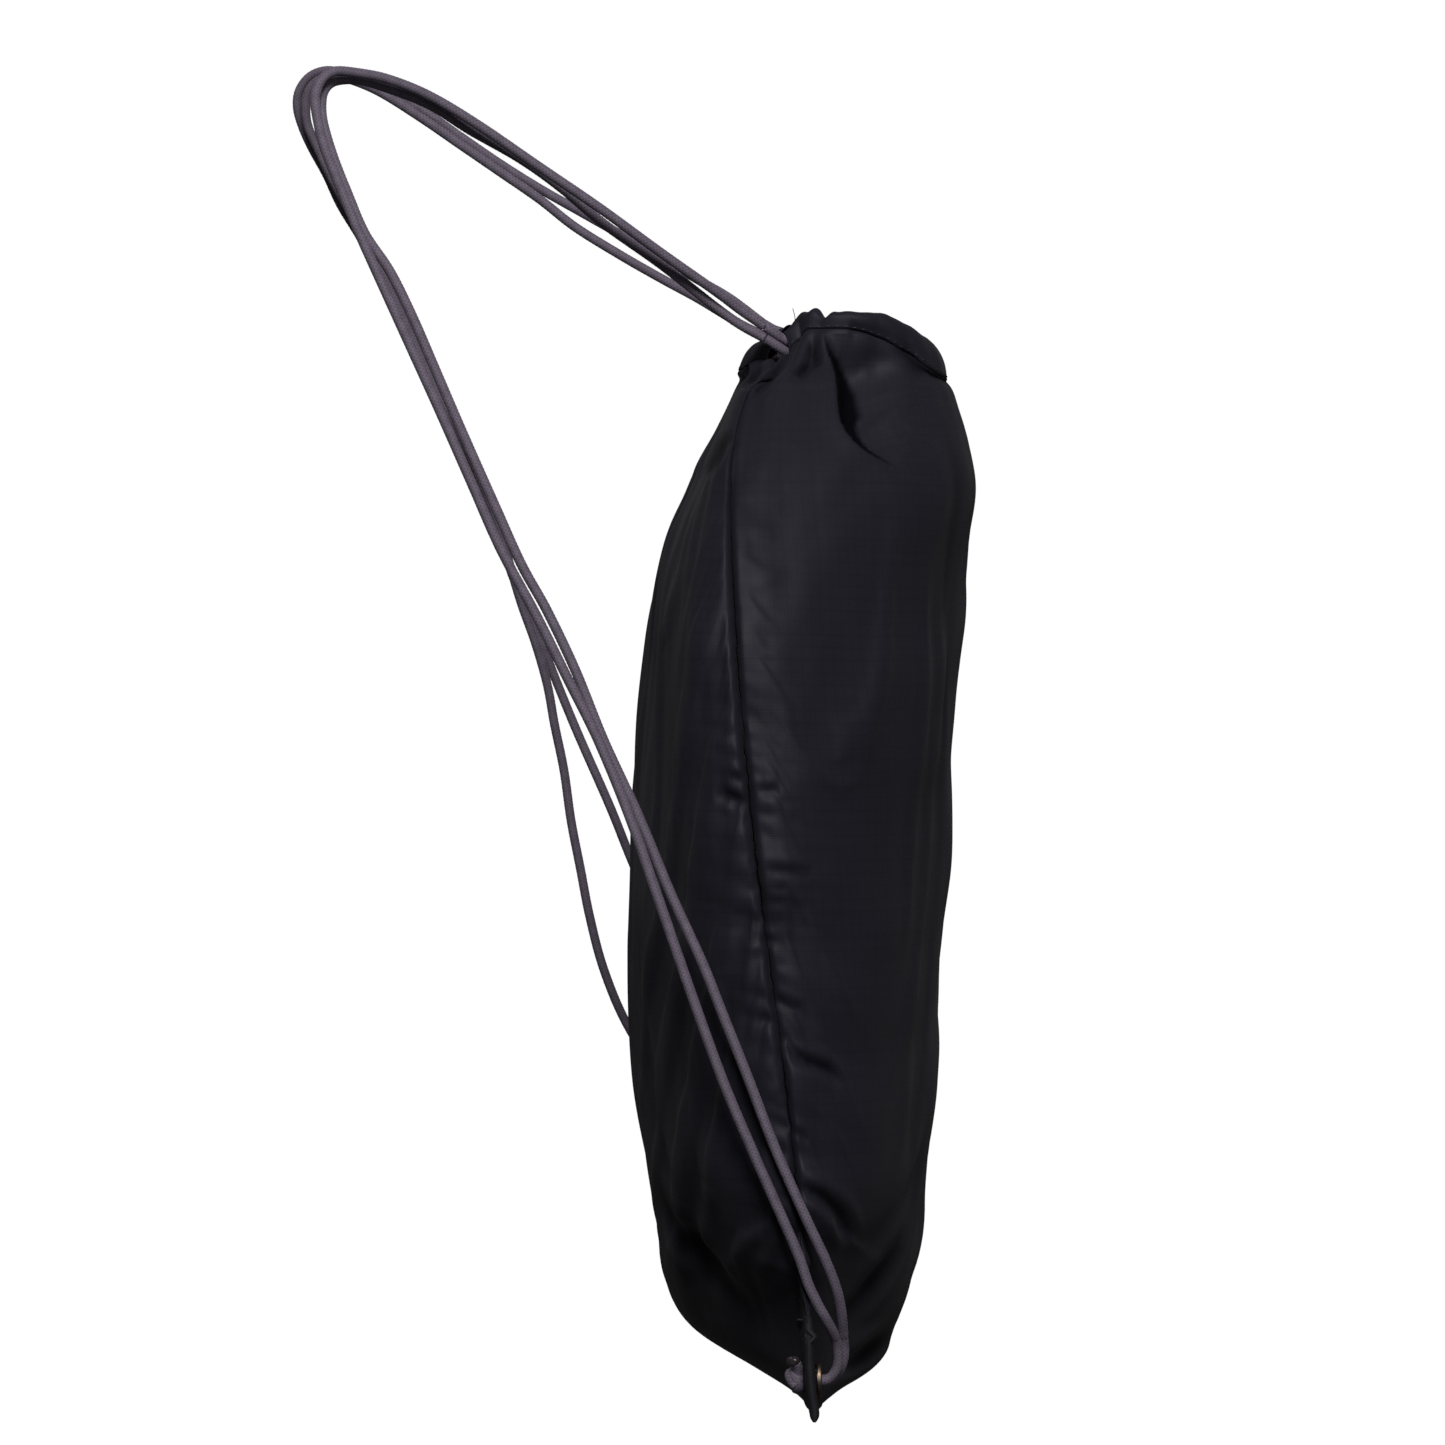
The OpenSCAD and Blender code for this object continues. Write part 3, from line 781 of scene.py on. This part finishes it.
def beside_line(flat, line):
    """How far each point is from a line, the same with a sign, and where along it, 0 to 1."""
    line = resampled(line, 0.0015)
    nearest = np.full(flat.shape[:-1], np.inf)
    signed, place = np.zeros(nearest.shape), np.zeros(nearest.shape)
    for k, (point, ahead) in enumerate(zip(line, unit(np.gradient(line, axis=0)))):
        gap = flat - point
        far = np.linalg.norm(gap, axis=-1)
        closer = far < nearest
        right = gap[..., 0] * ahead[1] - gap[..., 1] * ahead[0]
        nearest = np.where(closer, far, nearest)
        signed = np.where(closer, np.where(right >= 0, far, -far), signed)
        place = np.where(closer, k / (len(line) - 1), place)
    return nearest, signed, place


FOLD_MARGIN = 0.030
# How far the painted shade inside a hollow reaches from its line, at places along the line
HOLLOW_REACH = ((0, 0.11, 0.25, 0.40, 0.55, 0.67, 0.82, 1),
                (0.0010, 0.0018, 0.0032, 0.0072, 0.0086, 0.0046, 0.0017, 0.0012))


def fold_lift(flat, kind, depth, width, lip, line):
    """How far a fold lifts the cloth at each point, and the painted shade there, strongest in the
    fold's valley.
    """
    nearest, signed, place = beside_line(flat, line)
    ends = np.sin(math.pi * np.clip(place, 0, 0.999))
    ends = ends ** (0.6 if width < 0.004 or kind == "hollow" else 1.4)
    if kind == "ridge":
        return ends * depth * bell(nearest / width), 0 * nearest
    if kind == "crease":
        beside = lip * bell((nearest - 1.9 * width) / width)
        # inside is painted shade along the crease's valley.
        inside = min(0.75, 190 * depth) * bell(nearest / (0.9 * width))
        return ends * (beside - depth * bell(nearest / width)), ends * inside
    drop = smooth(signed, -0.0010, 0.0060)
    back_up = 1 - smooth(signed, 0.6 * width, 2.9 * width)
    lift = lip * (1 - drop) * bell(signed / 0.006) - depth * drop * back_up
    # inside is painted shade over the hollow's fall, out to its reach.
    reach = np.interp(place, *HOLLOW_REACH)
    inside = smooth(signed, -0.0008, 0.0004) * (1 - smooth(signed, 0.75 * reach, 1.3 * reach))
    return ends * lift, np.minimum(1, 1.5 * ends) * inside


def folds_lift(points, side):
    """The same for all the drawn folds on one panel."""
    x = points[..., 0]
    from_side, from_face = points[..., 1:], points[..., ::2]
    groups = ((LEFT_FOLDS, smooth(-x, 0.006, 0.020), from_side),
              (RIGHT_FOLDS, smooth(x, 0.006, 0.020), from_side),
              (BACK_FOLDS if side > 0 else FRONT_FOLDS,
               1 - smooth(np.abs(x), 0.110, 0.140), from_face))
    # inside collects the drawn folds' painted shade.
    lift, inside = np.zeros(x.shape), np.zeros(x.shape)
    for folds, here, flat in groups:
        for kind, fold in ((kind, fold) for kind in folds for fold in folds[kind]):
            sizes, line = metres([fold[:3]])[0], metres(fold[3:])
            low, high = np.min(line, axis=0) - FOLD_MARGIN, np.max(line, axis=0) + FOLD_MARGIN
            by = (here > 0) & ((flat > low) & (flat < high)).all(axis=-1)
            if by.any():
                up, painted_fold_shade = fold_lift(flat[by], kind, *sizes, line)
                lift[by] += here[by] * up
                inside[by] = np.maximum(inside[by], here[by] * painted_fold_shade)
    return lift, inside


def seam_lift(panel, side, down):
    """The side seams' grooves, and the small puckers that their thread draws up."""
    far = np.array([far_along(row) for row in panel])
    lift = np.zeros(far.shape)
    upper = smooth(-panel[..., 2], 0.235, 0.290)
    fin = smooth(-panel[..., 2], 0.470, 0.492)
    for k, away in enumerate((far, far[:, -1:] - far)):
        groove = 0.0022 * bell(away / 0.0013) + 0.0006 * bell(away / 0.007)
        slant = down[:, None] + (0.25 + 0.1 * k) * away * side
        waves = ripples(slant * 52, away * 6, 5 + k * 3 + side, 9, 0.5, 1.6)
        crimp = 0.45 - np.abs(waves) ** 0.8
        pucker = -0.0030 * crimp * np.exp(-away / 0.012) * mixed(0.15, 1.0, upper)
        long_pucker = 0.0014 * ripples(slant * 20, away * 4, 21 + k, 6, 0.5, 1.4)
        pucker = pucker + long_pucker * np.exp(-away / 0.030) * mixed(0.3, 1.0, upper)
        lift += (pucker * smooth(away, 0.0, 0.003) - groove) * (1 - fin)
    return lift


def soft_waves(panel, side):
    """The slack of the cloth over what fills the bag."""
    z = panel[..., 2]
    around = panel[..., 0] + panel[..., 1] * 2
    broad = 0.0016 * ripples(around * 9, z * 6, 40 + side, 8)
    fine = 0.0005 * ripples(around * 30, z * 16, 50 + side, 8)
    return (broad + fine) * smooth(-z, 0.130, 0.170) * (1 - smooth(-z, 0.480, 0.515))


def press_cords_in(panel):
    """Dents the cloth under the straps that lie on it."""
    clear = CORD_D / 2 + 0.0007
    for _, route, _ in STRAPS.values():
        line = resampled(route, 0.003)
        sign = -1 if line[len(line) // 2, 0] < 0 else 1
        for point in line:
            gap = panel - point
            flat = np.hypot(gap[..., 1], gap[..., 2])
            near = (np.abs(gap) < 0.012).all(axis=-1) & (flat < clear)
            reach = point[0] * sign - np.sqrt(np.clip(clear ** 2 - flat ** 2, 0, None))
            too_far = near & (panel[..., 0] * sign > reach)
            panel[..., 0] = np.where(too_far, reach * sign, panel[..., 0])
    return panel


def blurred(grid, reach=8):
    """A grid's broad changes: two passes of a moving average each way."""
    size = 2 * reach + 1
    for axis in (0, 1, 0, 1):
        pad = [(0, 0)] * grid.ndim
        pad[axis] = (reach + 1, reach)
        total = np.cumsum(np.pad(grid, pad, mode="edge"), axis=axis)
        count = grid.shape[axis]
        high = np.take(total, range(size, size + count), axis=axis)
        grid = (high - np.take(total, range(count), axis=axis)) / size
    return grid


def points_of(mesh):
    places = np.zeros(3 * len(mesh.vertices), np.float32)
    mesh.vertices.foreach_get("co", places)
    return places.reshape(-1, 3).astype(float)


SIM_FRAMES = 24
SIM_CAP = 0.0010    # how far a small fold may move
SIM_CLOTH = {
    "quality": 5, "mass": 0.15, "air_damping": 2.0, "tension_stiffness": 12,
    "compression_stiffness": 12, "shear_stiffness": 4, "bending_stiffness": 0.06,
    "vertex_group_mass": "held", "pin_stiffness": 1.0, "shrink_min": -0.035,
    "shrink_max": -0.035, "use_pressure": True, "uniform_pressure_force": 0.6,
}


def grip_on(panel):
    """How firmly each point is held while the cloth settles."""
    low = -panel[..., 2]
    row, column = np.indices(low.shape)
    edge = np.minimum(column, COLUMNS - column)
    fin = smooth(np.abs(panel[..., 0]), 0.125, 0.140) * smooth(low, 0.478, 0.495)
    return np.max([0 * low + 0.02, bell(edge / 1.3), 1 - smooth(row, 3, 30),
                   smooth(low, 0.500, 0.520), fin], axis=0)


def simulate(panels):
    """Lets the cloth settle. It is cut a little larger than the shape it starts in, so it buckles
    into small folds. Those are kept, and the slow drift of the whole cloth is taken out."""
    front, back = panels["front"], panels["back"]
    rows, columns = front.shape[:2]
    points = np.vstack([front.reshape(-1, 3), back[:-1, 1:-1].reshape(-1, 3)])

    # The number of each grid point in the one mesh: the panels share their edges
    f = np.arange(rows * columns).reshape(rows, columns)
    b = f.copy()
    b[:-1, 1:-1] = np.arange(rows * columns, len(points)).reshape(rows - 1, columns - 2)
    front_faces = np.stack([f[:-1, :-1], f[1:, :-1], f[1:, 1:], f[:-1, 1:]], axis=-1)
    back_faces = np.stack([b[:-1, :-1], b[:-1, 1:], b[1:, 1:], b[1:, :-1]], axis=-1)
    faces = np.stack([front_faces, back_faces], axis=2).reshape(-1, 4)
    obj = new_mesh("settling_cloth", points, faces.tolist())

    held = {name: grip_on(panel) for name, panel in panels.items()}
    hold = np.zeros(len(points))
    np.maximum.at(hold, f, held["front"])
    np.maximum.at(hold, b, held["back"])
    group = obj.vertex_groups.new(name="held")
    for k, value in enumerate(hold):
        group.add([k], float(value), "REPLACE")

    modifier = obj.modifiers.new("cloth", "CLOTH")
    given(modifier.settings, **SIM_CLOTH)
    modifier.settings.effector_weights.gravity = 0.3
    modifier.collision_settings.use_collision = False
    given(modifier.point_cache, frame_start=1, frame_end=SIM_FRAMES)
    scene = bpy.context.scene
    for frame_number in range(1, SIM_FRAMES + 1):
        scene.frame_set(frame_number)
    evaluated = obj.evaluated_get(bpy.context.evaluated_depsgraph_get())
    move = points_of(evaluated.data) - points
    scene.frame_set(1)
    bpy.data.objects.remove(obj)

    result = {}
    for name, numbers in (("front", f), ("back", b)):
        panel, moved = panels[name], move[numbers]
        small = moved - blurred(moved) * (1 - held[name])[..., None]
        size = np.linalg.norm(small, axis=-1, keepdims=True)
        down = -panel[..., 2:]
        share = smooth(down, 0.145, 0.240) * (1 - 0.85 * smooth(down, 0.455, 0.500))
        result[name] = panel + share * small * np.tanh(size / SIM_CAP) * SIM_CAP / np.maximum(
            size, 1e-9)
    return result


def sewn_sides(panels):
    """Brings the two panels' edges together along the side seams."""
    shared = (panels["front"][:, (0, -1)] + panels["back"][:, (0, -1)]) / 2
    for panel in panels.values():
        panel[:, (0, -1)] = shared


def shaped_panels():
    """Both panels' grids, and the painted shade in the seams' grooves and the valleys of their puckers.
    """
    places, rows = even_levels()
    fade = (1 - smooth(places, 2.2, 3.0))[:, None]
    panels = {name: pushed_out(lofted(side, places, rows), side, gathers(side, places) * fade)
              for name, side in SIDES.items()}
    sewn_sides(panels)
    row, column = np.indices((ROWS + 1, COLUMNS + 1))
    edge = np.minimum(column, COLUMNS - column)
    base = (panels["front"][-1] + panels["back"][-1]) / 2
    for panel in panels.values():
        panel[-1] = base
        panel[..., 2] -= 0.0030 * bell(edge / 9) * bell(row / 5)
    panels = simulate(panels)
    down = far_along((sum(panels.values()) / 2)[:, COLUMNS // 2])
    painted_shades = {}
    for name, side in SIDES.items():
        panel = panels[name]
        by_seam = seam_lift(panel, side, down)
        # Painted shade in the seams' grooves and the valleys of their puckers.
        painted_shades[name] = 0.4 * np.clip(-by_seam / 0.0030, 0, 1)
        lift = folds_lift(panel, side)[0] + by_seam + soft_waves(panel, side)
        lift[-1] = 0
        lift = np.maximum(lift, -0.0016 - 1.5 * np.clip(-0.1135 - panel[..., 2], 0, 1))
        lift += 0.0012 * bell((places - 0.18) / 0.14)[:, None]
        panels[name] = press_cords_in(pushed_out(panel, side, lift))
    sewn_sides(panels)
    return panels, painted_shades


def near_eyelet(points, radius):
    """True where a point is within a radius of either eyelet's axis."""
    x = np.abs(points[..., 0]) - EYELET[0]
    return np.hypot(x, points[..., 2] - EYELET[2]) < radius


def cloth_piece(name, grid, uvs, side, painted_shade, levels=1, hole=0.0):
    """A sheet of cloth from a grid of points, with thickness inwards, and the drawn folds' painted
    shade added to its fold attribute on the finer mesh.
    """
    points = grid.reshape(-1, 3)
    faces = np.array(grid_faces(*grid.shape[:2], flip=side < 0))
    faces = faces[~near_eyelet(points[faces].mean(axis=1), hole)]
    obj = new_mesh(name, points, faces.tolist(), uvs, painted_shade)
    applied(obj, "SUBSURF", levels=levels, render_levels=levels)
    # The drawn folds' painted shade, worked out again on the finer mesh.
    layer = obj.data.attributes["fold"].data
    painted_fold_shade = np.zeros(len(layer), np.float32)
    layer.foreach_get("value", painted_fold_shade)
    layer.foreach_set("value", np.maximum(painted_fold_shade, folds_lift(points_of(obj.data), side)[1]))
    applied(obj, "SOLIDIFY", thickness=CLOTH_T, offset=-1, use_even_offset=False)
    return obj


def hem_columns(side):
    """The columns that the hem channel covers, between the gaps that the cords leave by."""
    margin = 0 if side < 0 else 25
    return slice(margin, COLUMNS - margin + 1)


# Across the hem, from its seam over the top and down inside the mouth: how far out from the
# oval, the height, and how much of the gathers' sway it takes
HEM_PROFILE = ((0.0053, -0.1085, 1.0), (0.0052, -0.1030, 0.9), (0.0036, -0.0995, 0.6),
               (0.0003, -0.0982, 0.2), (-0.0032, -0.0994, -0.4), (-0.0050, -0.1032, -0.8),
               (-0.0052, -0.1090, -0.9), (-0.0044, -0.1160, -0.9))
HEM_TOP = -0.0982


def hem_grid(panel, side):
    """The hem: up from the panel's top edge, over the cords and down inside the mouth, with
    slanted ends that reach over the cords' exits."""
    covered = hem_columns(side)
    angles = ring_angles(side)[covered]
    sway = np.clip(gathers(side, np.zeros(1))[0][covered], -0.0030, 0.0012)
    even = 1 - 0.8 * smooth(angles, 172, 182) * (1 - smooth(angles, 285, 305))
    crest = 0.0018 * even * ripples(angles / 16, 0 * angles, 60 + side, 8)
    squeeze = 1 - hem_rise(angles) / 0.0173
    from_left = np.arange(len(angles))
    reach = 5 if side < 0 else 7
    ears = reach * side * (bell(from_left / 9) - bell(from_left[::-1] / 9))
    rows = [panel[0, covered]]
    for out, z, share in HEM_PROFILE:
        up = float(smooth(z, -0.108, -0.099))
        level = HEM_TOP + (z - HEM_TOP) * (squeeze if share > 0 else 1)
        rows.append(mouth_point(angles + ears * up, out + sway * share, level + crest * up))
    return np.array(rows)


def make_bag(nylon_material):
    panels, painted_shades = shaped_panels()
    made = {}
    for name, side in SIDES.items():
        node = name + "_panel"
        uvs = uv_grid(FLAT_CUT[0] * SPREAD, np.linspace(0, FLAT_CUT[1], ROWS + 1))
        obj = cloth_piece(node + "_cloth", panels[name], uvs, side, painted_shades[name], hole=0.0056)
        made[node] = placed(obj, "bag", nylon_material, [node])
        hem = hem_grid(panels[name], side)
        uvs = uv_grid(FLAT_CUT[0] * SPREAD[hem_columns(side)], -np.linspace(0, 0.035, len(hem)))
        node = name + "_channel"
        obj = cloth_piece(node + "_cloth", hem, uvs, side, 0 * hem[..., 0], levels=2)
        made[node] = placed(obj, "bag", nylon_material, [node])
    return panels, made


# ---- Seams, corner patches and stitching ----

STITCH = 0.0026
STITCH_GAP = 0.0013
STITCH_R = 0.00024


def strand(line, radius, sides=8):
    """A thin closed tube with round ends, as points, faces and uvs."""
    far = far_along(line)
    close = np.clip(np.minimum(far, far[-1] - far) / radius, 0.06, 1)
    thick = radius * np.sqrt(1 - np.square(1 - close))
    angle = np.linspace(0, 2 * math.pi, sides, endpoint=False)
    return (tube_points(line, thick[:, None], angle), tube_faces(len(line), sides),
            uv_grid(angle * radius, far))


def stitches(line, outward):
    """A row of short threads along a line that dip into the cloth at their ends."""
    far = far_along(line)
    arch = np.sin(np.linspace(0, math.pi, 7))[:, None] ** 0.5
    parts = []
    for start in np.arange(STITCH_GAP, far[-1] - STITCH, STITCH + STITCH_GAP):
        even = start + np.linspace(0, STITCH, 7)
        lift = unit(at_places(even, far, outward)) * STITCH_R * (1.25 * arch - 0.45)
        parts.append(strand(at_places(even, far, line) + lift, STITCH_R))
    return parts


def turned_edge(lines, width, far):
    """Raw edges turned in along a seam, from lines of points side by side round them."""
    grid = np.stack(lines, axis=1)
    rows, columns = grid.shape[:2]
    return (grid.reshape(-1, 3), tube_faces(rows, columns),
            uv_grid(np.linspace(0, width, columns), far))


def side_turning(panels, column):
    """The raw edges turned in along a side seam."""
    line = panels["front"][6:-12:2, column]
    inward = np.array([-np.sign(line[0, 0]), 0.15, 0])
    down = np.linspace(0, 1, len(line))
    curl = 0.0012 * ripples(down * 9, down * 0, 77, 6)
    layers = []
    for share, thick in ((0.0, 0.0004), (0.5, 0.0005), (1.0, 0.0005)):
        middle = line + inward * (0.0012 + 0.0085 * share)
        middle[:, 1] += curl * share
        layers.append((middle, np.array([0, thick, 0])))
    lines = [middle + half for middle, half in layers]
    lines += [middle - half for middle, half in layers[::-1]]
    return turned_edge(lines, 0.02, far_along(line))


def bottom_turning(panels):
    """The raw edges turned in along the bottom seam."""
    line = panels["front"][-1, 30:-30]
    wave = 0.0008 * ripples(line[:, 0] * 60, 0 * line[:, 0], 78, 6)
    lines = []
    for height, across in ((0.0008, -0.0004), (0.006, -0.0005), (0.010, -0.0004),
                           (0.010, 0.0004), (0.006, 0.0005), (0.0008, 0.0004)):
        lines.append(line + np.column_stack([0 * wave, across + wave * height / 0.01,
                                             0 * wave + height]))
    return turned_edge(lines, 0.022, line[:, 0])


def surface_finder(cloth):
    """A function that gives where a ray along Y first meets a panel from outside."""
    tree = BVHTree.FromObject(cloth, bpy.context.evaluated_depsgraph_get())

    def find(x, z, side):
        hit = tree.ray_cast(Vector((x, side * 2.0, z)), Vector((0, -side, 0)))[0]
        return hit.y if hit else EYELET[1]

    return find


PATCH_T = 0.0007        # the corner patch's cloth, doubled
PATCH_TOP = -0.4905
PATCH_BOTTOM = -0.5284
PATCH_EDGE = 0.1664     # the outer edge, past the side seam
PATCH_ROOT = (0.1290, 0.1585)  # the inner edge, at the bottom and at the top
PATCH_ROWS = 30
PATCH_HALF = 22         # columns on each of its two faces


def corner_patch(finders, sign):
    """The doubled corner that carries the eyelet: one piece of cloth folded round the edge."""
    grid = []
    for v in np.linspace(0, 1, PATCH_ROWS):
        z = mixed(PATCH_BOTTOM, PATCH_TOP, v)
        root = mixed(*PATCH_ROOT, v ** 1.1) - 0.003 * math.sin(math.pi * v)
        edge = PATCH_EDGE - 0.0040 * float(smooth(v, 0.80, 1.0))
        over = sign * np.linspace(root, edge, PATCH_HALF)
        front = [(x, finders["front"](x, z, -1) - PATCH_T, z) for x in over]
        back = [(x, finders["back"](x, z, 1) + PATCH_T, z) for x in over[::-1]]
        near, far = front[-1][1], back[0][1]
        fold_y = (near + far) / 2
        round_edge = [(sign * (edge + 0.0007), mixed(near, fold_y, 0.5), z),
                      (sign * (edge + 0.0011), fold_y, z),
                      (sign * (edge + 0.0007), mixed(far, fold_y, 0.5), z)]
        curl = float(smooth(v, 0.72, 1.0))
        for k in range(7):
            x, y, _ = back[-1 - k]
            back[-1 - k] = (x, y + 0.0032 * curl * (1 - k / 7) ** 2, z - 0.001 * curl)
        grid.append(front + round_edge + back)
    grid = np.array(grid)
    closing = grid[0].copy()
    closing[:, 1:] = EYELET[1], PATCH_BOTTOM - 0.0016
    middle = mixed(grid[0], closing, 0.6)
    middle[:, 2] = PATCH_BOTTOM - 0.0012
    return np.concatenate([closing[None], middle[None], grid])


def patch_outline(grid):
    """Lines for the stitching on the front and the back, and the way each faces."""
    upright = ((1, -1), (PATCH_HALF - 2, -1), (PATCH_HALF + 4, 1), (-2, 1))
    return [(grid[3:-1, column] + (0, 0.0001 * way, 0), way) for column, way in upright] + [
        (grid[3, 2:PATCH_HALF - 2], -1), (grid[3, PATCH_HALF + 5:-2], 1)]


def make_corners(cloth, trim, thread):
    finders = {name: surface_finder(cloth[name + "_panel"]) for name in SIDES}
    for side, sign in (("left", -1), ("right", 1)):
        grid = corner_patch(finders, sign)
        rows, columns = grid.shape[:2]
        points = grid.reshape(-1, 3)
        faces = np.array(grid_faces(rows, columns, flip=sign > 0))
        faces = faces[~near_eyelet(points[faces].mean(axis=1), 0.0053)]
        patch = new_mesh("corner_patch_" + side, points, faces.tolist(),
                         uv_grid(np.linspace(0, 0.08, columns), np.linspace(0, 0.042, rows)))
        applied(patch, "SUBSURF", levels=2, render_levels=2)
        applied(patch, "SOLIDIFY", thickness=0.0006, offset=-1)
        placed(patch, "bag", trim, ["corner_tab_" + side])
        parts = []
        for line, way in patch_outline(grid):
            if not near_eyelet(line, 0.0085).any():
                parts += stitches(line, np.tile((0.0, way, 0.0), (len(line), 1)))
        sewn = new_mesh("corner_stitches_" + side, *joined(parts))
        placed(sewn, "bag", thread, ["corner_stitching_" + side])


# A loose end of the hem's thread, by the left exit
THREAD_END = metres([(-40, -192, -108.5), (-40.5, -190.5, -103.5), (-41.2, -190, -99.5),
                     (-40.8, -189.2, -96.2)])


def make_seams(panels, trim, thread):
    for side, column in (("left", 0), ("right", -1)):
        turning = new_mesh("side_seam_turning_" + side, *side_turning(panels, column))
        placed(turning, "bag", trim, ["side_seam_" + side])
    placed(new_mesh("bottom_seam_turning", *bottom_turning(panels)), "bag", trim,
           ["bottom_seam"])
    for name, side in SIDES.items():
        hem = hem_grid(panels[name], side)
        line = mixed(hem[0], hem[1], 0.25)
        outward = unit((line - (0, MOUTH_Y, 0)) * (1, 1, 0))
        parts = stitches(line + outward * 0.0002, outward)
        if name == "back":
            parts.append(strand(resampled(THREAD_END, 0.0004), 0.00016, 6))
        sewn = new_mesh(name + "_hem_stitches", *joined(parts))
        placed(sewn, "bag", thread, [name + "_channel_stitching"])


# ---- Knots and cord ends ----

def by_eyelet(rows):
    """Places by the left eyelet, given in mm, with x and z from its centre."""
    return [(x - EYELET[0], y, z + EYELET[2]) for x, y, z in metres(rows)]


KNOT_CORE = by_eyelet([(-1.6, -191.7, 0), (-1.2, -189.5, 0.4), (0.8, -188.4, -0.4),
                       (1.2, -187.6, 0.6)])
KNOT_OVER = by_eyelet([(-4, -189.2, -2), (-2.2, -187.4, 0.4), (1, -186.8, 2.2),
                       (3.8, -188.2, 3)])
KNOT_ENDS = [
    by_eyelet([(-2.6, -190, 2), (-3.4, -189.9, 4.6), (-4.2, -189.4, 6.4), (-4.8, -188.9, 7.4)]),
    by_eyelet([(2, -189.8, 2), (2, -189.5, 4.6), (1.4, -188.7, 6), (0.8, -187.9, 7)]),
]
TIP_R = 0.00222


def knot_wraps():
    """The turns of a stopper knot on the left pair, drawn down tight on the wearer's side."""
    turns = np.linspace(0, 2 * math.pi * 1.7, 36)
    return by_eyelet(np.column_stack([
        3.4 * np.cos(turns), np.linspace(-190.6, -188.4, 36) + 0.9 * np.sin(turns + 0.6),
        3.4 * np.sin(turns)]))


def make_knots(braid, tip):
    """On each side the knot of the pair's two ends, and the melted tips of its cords."""
    for side, turn in (("left", list), ("right", mirrored)):
        ends = [turn(end) for end in KNOT_ENDS]
        paths = [turn(knot_wraps()), turn(KNOT_CORE), turn(KNOT_OVER), *ends]
        placed(tubes(f"knot_{side}_braid", paths), "bag", braid, ["knot_" + side])
        blobs = []
        for end in ends:
            before, last = np.array(end[-2:])
            line = last + unit(last - before) * np.linspace(-0.0010, 0.0026, 12)[:, None]
            points, faces, uvs = strand(line, TIP_R, 14)
            lump = 1 + 0.08 * ripples(points[:, 0] * 380, points[:, 2] * 380, 90, 6)[:, None]
            middle = points.mean(axis=0)
            blobs.append((middle + (points - middle) * lump, faces, uvs))
        sealed = new_mesh("cord_tips_" + side, *joined(blobs))
        applied(sealed, "SUBSURF", levels=2, render_levels=2)
        placed(sealed, "bag", tip, ["cord_ends_" + side])


def make_eyelets(metal):
    """The CAD model's own eyelets and washers, with their real metal."""
    for node in ("eyelet_left", "eyelet_right", "eyelet_washer_left", "eyelet_washer_right"):
        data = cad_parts[node].data
        data.materials.clear()
        data.materials.append(metal)


# ---- The whole backpack ----

make_camera()
make_studio()
BRAID = mauve_braid()
THREAD = black_thread()
TRIM = black_trim()
make_cords(BRAID)
PANELS, CLOTH = make_bag(nylon())
make_seams(PANELS, TRIM, THREAD)
make_corners(CLOTH, TRIM, THREAD)
make_knots(BRAID, sealed_tip())
make_eyelets(worn_nickel())
